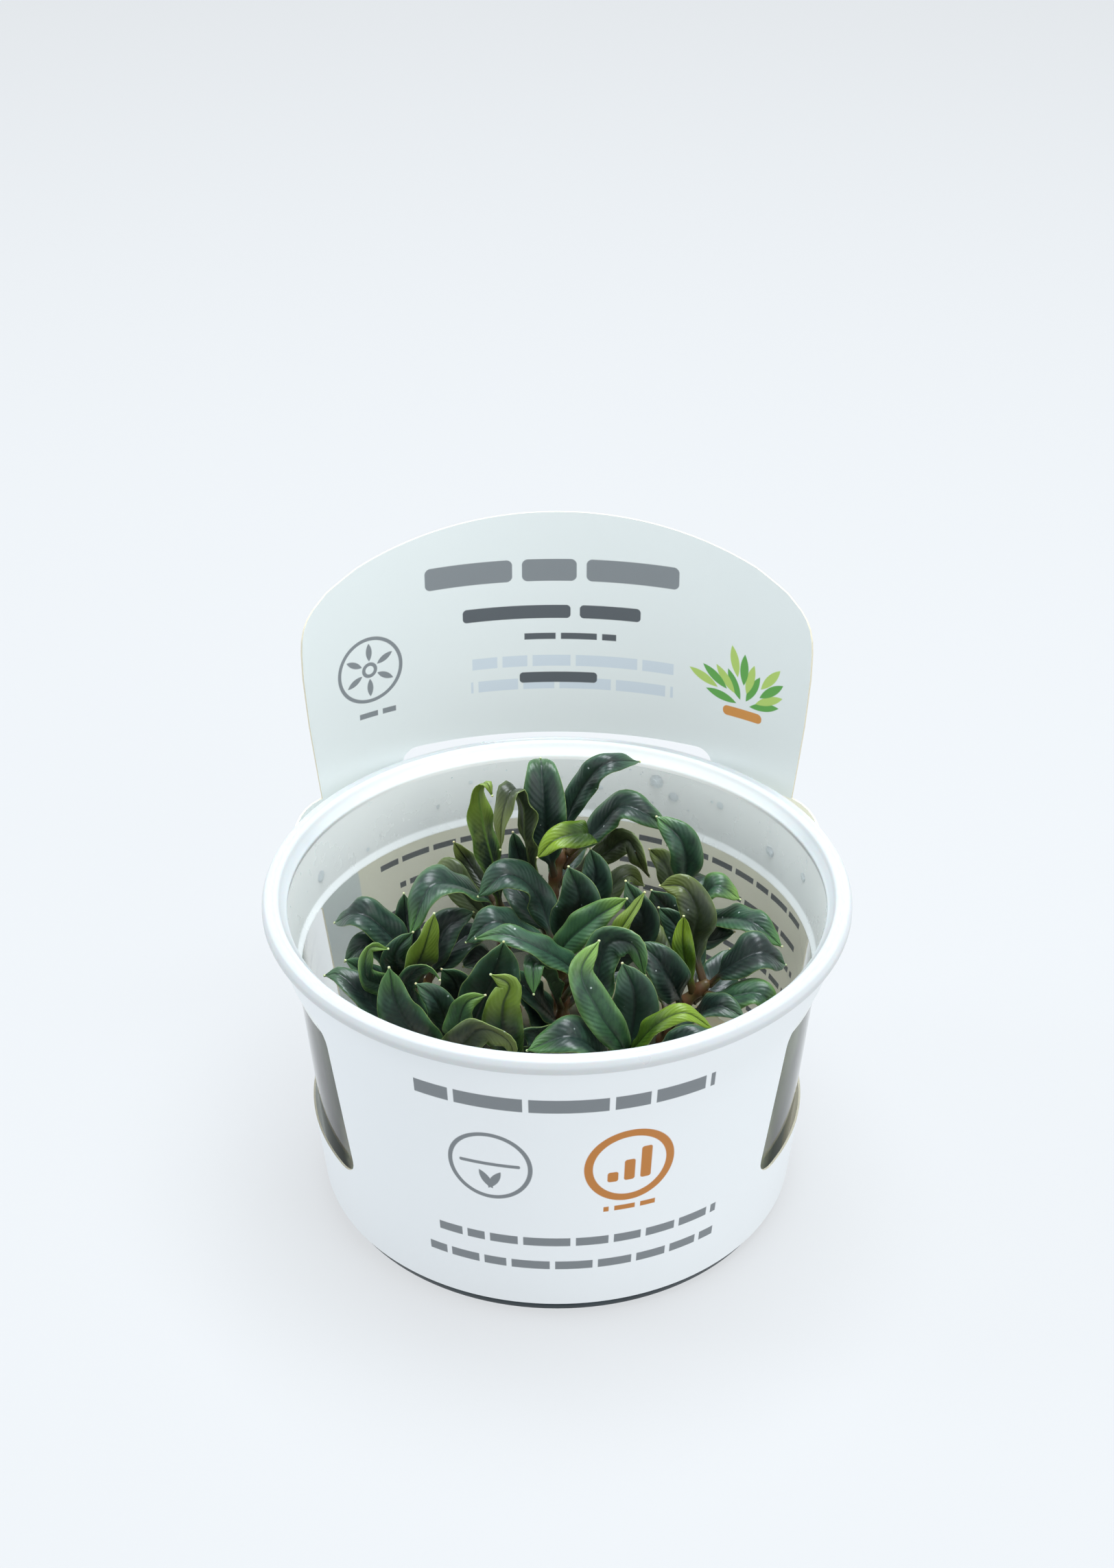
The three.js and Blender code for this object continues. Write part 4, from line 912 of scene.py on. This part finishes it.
def growLeaf(bm, leaf, seed, firstSlot):
    # adds one leaf to a mesh: a flat grid given thickness, then bent along the leaf's centre line
    f = leafForm
    path, faces, width, _ = leaf
    line, length = centreLine(path)
    baseFace, tipFace = [Vector(face).normalized() for face in faces]
    chance = random.Random(seed)
    phases = [chance.uniform(0, math.tau) for _ in range(2)]
    waves = [chance.uniform(0.5, 1.2) for _ in range(2)]
    shade = chance.uniform(-1, 1)
    old = set(bm.faces)
    bmesh.ops.create_grid(bm, x_segments=f["lengthSteps"], y_segments=f["widthSteps"], size=1)
    sheet = [face for face in bm.faces if face not in old]
    bmesh.ops.solidify(bm, geom=sheet, thickness=0.1)
    shell = [face for face in bm.faces if face not in old]
    verts = {vert for face in shell for vert in face.verts}
    level = sum(vert.co.z for vert in verts) / len(verts)
    uvMap = bm.loops.layers.uv["blade"]
    shadeLayer = bm.verts.layers.float["shade"]
    reachLayer = bm.verts.layers.float["reach"]
    flat = {}
    for vert in verts:
        share = min(max((vert.co.x + 1) / 2, 0), 1)
        across = vert.co.y * (0.6 + 0.4 * vert.co.y ** 2)
        flat[vert] = (share, across, vert.co.z > level)
    for face in shell:
        sides = [flat[vert][2] for vert in face.verts]
        face.material_index = firstSlot + (0 if any(sides) else 1)
        for loop in face.loops:
            share, across, _ = flat[loop.vert]
            loop[uvMap].uv = (share, (across + 1) / 2)
    for vert, (share, across, isTop) in flat.items():
        centre, forward = lineAt(line, share)
        face = baseFace.lerp(tipFace, share)
        side = face.cross(forward).normalized()
        up = forward.cross(side)
        blade = smooth(f["bladeStart"], f["bladeFull"], share)
        half = leafHalfWidth(share, width) * (1 - f["tipNarrowing"] * smooth(f["tipStart"], 1, share))
        off = abs(across)
        edge = 0 if across < 0 else 1
        ripple = math.sin(math.tau * share * length / f["waveLength"] + phases[edge]) * waves[edge]
        sway = noise.noise(Vector((share * 3, seed * 1.7, across)))
        ripple *= f["waveHeight"] * blade * off ** 2 * smooth(1.01, 0.8, share)
        fold = half * blade * (f["fold"] * off - f["droop"] * off ** 3)
        stalkThickness = f["petioleThickness"] * math.sqrt(max(1 - 0.92 * off ** 2, 0))
        bladeThickness = mix(f["bladeThickness"], f["marginThickness"], off ** 1.5)
        bladeThickness *= 1 - 0.5 * smooth(0.7, 1, share)
        thickness = mix(stalkThickness, bladeThickness, blade)
        lift = fold + ripple + f["swayUp"] * sway * blade + (thickness if isTop else -thickness) / 2
        if isTop:
            lift -= f["groove"] * blade * math.exp(-(off / f["grooveShare"]) ** 2)
        else:
            lift -= f["rib"] * blade * math.exp(-(off / f["ribShare"]) ** 2) * (1 - 0.7 * share)
        vert.co = centre + side * (across * half * (1 + f["swayAcross"] * sway * blade)) + up * lift
        vert[shadeLayer] = shade
        vert[reachLayer] = share * length
    bmesh.ops.recalc_face_normals(bm, faces=shell)
    old = set(bm.faces)
    bead = Matrix.Translation(lineAt(line, 1)[0])
    bmesh.ops.create_icosphere(bm, subdivisions=1, radius=f["tipBead"], matrix=bead)
    for face in bm.faces:
        if face not in old:
            face.material_index = firstSlot + 2


def newPlantMesh():
    bm = bmesh.new()
    bm.loops.layers.uv.new("blade")
    bm.verts.layers.float.new("shade")
    bm.verts.layers.float.new("reach")
    return bm


def leafSurface(name, tone, isUnder):
    # Living leaf under a waxy cuticle: soft gloss on top, paler and duller below
    deep, body, margin, under, tip, tipFrom = leafTones[tone]
    gloss = 0.1 if isUnder else 0.2 if tone == "young" else 0.5
    surface, tree, shader, place = newMaterial(name, {
        "IOR": 1.42, "Coat Weight": gloss, "Coat Roughness": 0.34})
    uv = addNode(tree, "ShaderNodeUVMap", {"uv_map": "blade"})
    split = addNode(tree, "ShaderNodeSeparateXYZ", None, {0: uv})
    share = split.outputs[0]
    signed = addNode(tree, "ShaderNodeMath", {"operation": "MULTIPLY_ADD", 1: 2, 2: -1},
                     {0: split.outputs[1]})
    off = addNode(tree, "ShaderNodeMath", {"operation": "ABSOLUTE"}, {0: signed})
    shade = addNode(tree, "ShaderNodeAttribute", {"attribute_name": "shade"}).outputs["Fac"]
    reach = addNode(tree, "ShaderNodeAttribute", {"attribute_name": "reach"}).outputs["Fac"]

    # blotches a few millimetres wide, shifted lighter or darker by each leaf's own shade
    blotch = addNode(tree, "ShaderNodeTexNoise", {"Scale": 260, "Detail": 5, "Roughness": 0.65},
                     {"Vector": place})
    shifted = addNode(tree, "ShaderNodeMath", {"operation": "MULTIPLY_ADD", 1: 0.16}, {0: shade, 2: blotch})
    # side veins run obliquely outwards from the midrib
    slant = addNode(tree, "ShaderNodeMath", {
        "operation": "MULTIPLY_ADD", 1: -leafForm["veinSlant"]}, {0: off, 2: reach})
    turns = addNode(tree, "ShaderNodeMath", {
        "operation": "MULTIPLY", 1: math.tau / leafForm["veinSpacing"]}, {0: slant})
    veins = addNode(tree, "ShaderNodeMath", {"operation": "SINE"}, {0: turns})
    coats = [
        # colour, what its mask follows, where that starts and is full, the mask's most, soft or straight
        (under if isUnder else body, shifted, 0.34, 0.7, 1, "SMOOTHSTEP"),
        (margin, off, 0.55, 1, 0.75, "SMOOTHSTEP"),                    # green gathers at the margin
        (tip, share, tipFrom, tipFrom + 0.22, 0.9, "SMOOTHSTEP"),      # the tip ends lighter
        (margin, veins, 0.55, 1, 0.07, "LINEAR"),
        (margin if isUnder else deep, off, 0.13, 0.02, 0.75, "SMOOTHSTEP"),     # midrib
        ("#9db466", off, 0.965, 0.995, 0.6, "LINEAR"),                 # pale line along the very edge
        ("#5a4026", share, 0.24, 0.08, 0.85, "SMOOTHSTEP"),            # reddish brown stalk
    ]
    layers = []
    for color, source, start, full, most, ends in coats:
        layers.append((color, addNode(tree, "ShaderNodeMapRange", {
            "From Min": start, "From Max": full, "To Max": most, "interpolation_type": ends},
            {"Value": source})))
    # sparse white mineral specks, with painted glints that stand for moisture on the leaf
    speck = addNode(tree, "ShaderNodeTexVoronoi", {"Scale": 700}, {"Vector": place})
    pick = addNode(tree, "ShaderNodeSeparateColor", None, {0: speck.outputs["Color"]})
    rare = addNode(tree, "ShaderNodeMath", {"operation": "GREATER_THAN", 1: 0.93}, {0: pick.outputs[0]})
    dot = addNode(tree, "ShaderNodeMapRange", {"From Min": 0.16, "From Max": 0.08, "To Max": 0.75},
                  {"Value": speck.outputs["Distance"]})
    speckAndPaintedGlint = addNode(tree, "ShaderNodeMath", {"operation": "MULTIPLY"}, {0: rare, 1: dot})
    color = paintLayers(tree, deep, layers + [("#d5e0dc", speckAndPaintedGlint)])

    low = 0.42 if isUnder else 0.26
    rough = addNode(tree, "ShaderNodeMapRange", {"To Min": low, "To Max": low + 0.22}, {"Value": blotch})
    grain = addNode(tree, "ShaderNodeTexNoise", {"Scale": 2200, "Detail": 2}, {"Vector": place})
    veinBump = addNode(tree, "ShaderNodeBump", {"Strength": 0.25, "Distance": 0.0001}, {"Height": veins})
    bump = addNode(tree, "ShaderNodeBump", {"Strength": 0.3, "Distance": 0.00006},
                   {"Height": grain, "Normal": veinBump})
    connect(tree, shader, {"Base Color": color, "Roughness": rough, "Normal": bump})
    return surface


def tipMaterial():
    # Pale bead at a leaf's tip, where the plant sweats water: waxy and translucent
    surface, tree, shader, place = newMaterial("paleLeafTip", {
        "Roughness": 0.25, "Subsurface Weight": 0.3, "Subsurface Scale": 0.0005})
    patch = addNode(tree, "ShaderNodeTexNoise", {"Scale": 900}, {"Vector": place})
    connect(tree, shader, {"Base Color": paintLayers(tree, "#c6cd86", [("#e3e6bf", patch)])})
    return surface


tipSurface = tipMaterial()
leafSurfaces = {
    tone: [leafSurface("waxyLeaf" + tone.capitalize(), tone, False),
           leafSurface("dullLeafBack" + tone.capitalize(), tone, True), tipSurface]
    for tone in leafTones
}


stemForm = {"radius": 1.45, "topRadius": 1.15, "rootDepth": 2.6, "nodeSpacing": 3.4, "nodeBulge": 0.16,
            "domeLength": 1.2, "lengthSteps": 72, "aroundSteps": 14}


def stemMaterial():
    # Fleshy creeping stem: smooth reddish brown skin, greener between the leaf scars
    surface, tree, shader, place = newMaterial("fleshyBrownStem", {
        "IOR": 1.42, "Coat Weight": 0.2, "Coat Roughness": 0.25})
    patch = addNode(tree, "ShaderNodeTexNoise", {"Scale": 300, "Detail": 4}, {"Vector": place})
    reach = addNode(tree, "ShaderNodeAttribute", {"attribute_name": "reach"}).outputs["Fac"]
    rings = addNode(tree, "ShaderNodeMath", {
        "operation": "MULTIPLY", 1: math.tau / stemForm["nodeSpacing"]}, {0: reach})
    wave = addNode(tree, "ShaderNodeMath", {"operation": "SINE"}, {0: rings})
    green = addNode(tree, "ShaderNodeMapRange", {"From Min": 0.2, "From Max": -1, "To Max": 0.4},
                    {"Value": wave})
    color = paintLayers(tree, "#3f2a1a", [("#7a5330", patch), ("#5c5a2c", green)])
    rough = addNode(tree, "ShaderNodeMapRange", {"To Min": 0.32, "To Max": 0.55}, {"Value": patch})
    fine = addNode(tree, "ShaderNodeTexNoise", {"Scale": 1500, "Detail": 2}, {"Vector": place})
    bump = addNode(tree, "ShaderNodeBump", {"Strength": 0.3, "Distance": 0.0001}, {"Height": fine})
    connect(tree, shader, {"Base Color": color, "Roughness": rough, "Normal": bump})
    return surface


def growStem(bm, path):
    # adds the stem: a grid rolled into a tube along its centre line, closed to a dome at each end
    s = stemForm
    first, second = Vector(path[0]), Vector(path[1])
    root = first + (first - second).normalized() * s["rootDepth"]
    line, length = centreLine([root, *path])
    old = set(bm.verts)
    bmesh.ops.create_grid(bm, x_segments=s["lengthSteps"], y_segments=s["aroundSteps"], size=1)
    verts = [vert for vert in bm.verts if vert not in old]
    reachLayer = bm.verts.layers.float["reach"]
    for vert in verts:
        share = min(max((vert.co.x + 1) / 2, 0), 1)
        around = math.pi * (vert.co.y + 1)
        centre, forward = lineAt(line, share)
        side = Vector((1, 0, 0)).cross(forward).normalized()
        other = forward.cross(side)
        radius = mix(s["radius"], s["topRadius"], share)
        radius += s["nodeBulge"] * math.sin(math.tau * share * length / s["nodeSpacing"])
        for fromEnd in (share * length, (1 - share) * length):
            radius *= math.sqrt(max(1 - max(1 - fromEnd / s["domeLength"], 0) ** 2, 0))
        vert.co = centre + (side * math.cos(around) + other * math.sin(around)) * radius
        vert[reachLayer] = share * length
    bmesh.ops.remove_doubles(bm, verts=verts, dist=0.005)
    bmesh.ops.recalc_face_normals(bm, faces=bm.faces[:])


def plainName(prefix, name, number=None):
    # leaf and back_left and 3 give leafBackLeft3
    words = "".join(word.capitalize() for word in name.split("_"))
    return prefix + words + (str(number) if number else "")


stemSurface = stemMaterial()
seed = 0
for name, shoot in shoots.items():
    bm = newPlantMesh()
    growStem(bm, shoot["path"])
    surfaces = [stemSurface]
    for leaf in shoot["fused"]:
        seed += 1
        growLeaf(bm, leaf, seed, len(surfaces))
        surfaces += leafSurfaces[leaf[3]]
    finishPiece(bm, plainName("stem", name), surfaces, [f"stem_{name}"])
    for number, leaf in enumerate(shoot["leaves"], 1):
        seed += 1
        bm = newPlantMesh()
        growLeaf(bm, leaf, seed, 0)
        node = f"leaf_{name}_{number}"
        finishPiece(bm, plainName("leaf", name, number), leafSurfaces[leaf[3]], [node])
    print("shoot", name, "grown")


# Condensation on the neck's inner wall
dropForm = {
    "seed": 5, "count": 54, "smallest": 0.16, "largest": 0.5, "flatness": 0.35,
    "bottom": 47.5, "top": 56,
    # turn from the back, height and size of the few big ones
    "big": [(0.42, 54.5, 1.5), (0.5, 52.2, 1.0), (0.72, 53.8, 0.8), (1.02, 50.5, 1.1), (-1.2, 50, 1.2),
            (1.28, 52, 0.9)],
}


def buildCondensation():
    d = dropForm
    c = cupForm
    chance = random.Random(d["seed"])
    bm = bmesh.new()
    drops = list(d["big"])
    for _ in range(d["count"]):
        turn, height = chance.uniform(0, math.tau), chance.uniform(d["bottom"], d["top"])
        drops.append((turn, height, mix(d["smallest"], d["largest"], chance.random() ** 3)))
    for turn, height, size in drops:
        share = (height - c["ledgeHeight"]) / (c["neckHeight"] - c["ledgeHeight"])
        wall = mix(c["ledgeRadius"] + c["ledgeDepth"], c["neckRadius"], share) - c["wall"] - 0.05
        outward = Vector((math.sin(turn), math.cos(turn), 0))
        place = Matrix.Translation(outward * wall + Vector((0, 0, height)))
        turned = outward.to_track_quat("Z", "Y").to_matrix().to_4x4()
        shape = Matrix.Diagonal((size * chance.uniform(0.8, 1.2), size, size * d["flatness"], 1))
        bmesh.ops.create_icosphere(bm, subdivisions=2, radius=1, matrix=place @ turned @ shape)
    # Water: clear, with surface tension's even gloss
    surface, tree, shader, place = newMaterial("clearWaterDrops", {
        "Transmission Weight": 1, "IOR": 1.333, "Roughness": 0.02, "Base Color": hexColor("#f6fbff")})
    ripple = addNode(tree, "ShaderNodeTexNoise", {"Scale": 700}, {"Vector": place})
    bump = addNode(tree, "ShaderNodeBump", {"Strength": 0.05, "Distance": 0.0001}, {"Height": ripple})
    connect(tree, shader, {"Normal": bump})
    finishPiece(bm, "condensationDrops", [surface], [])


buildCondensation()
print("condensation placed")
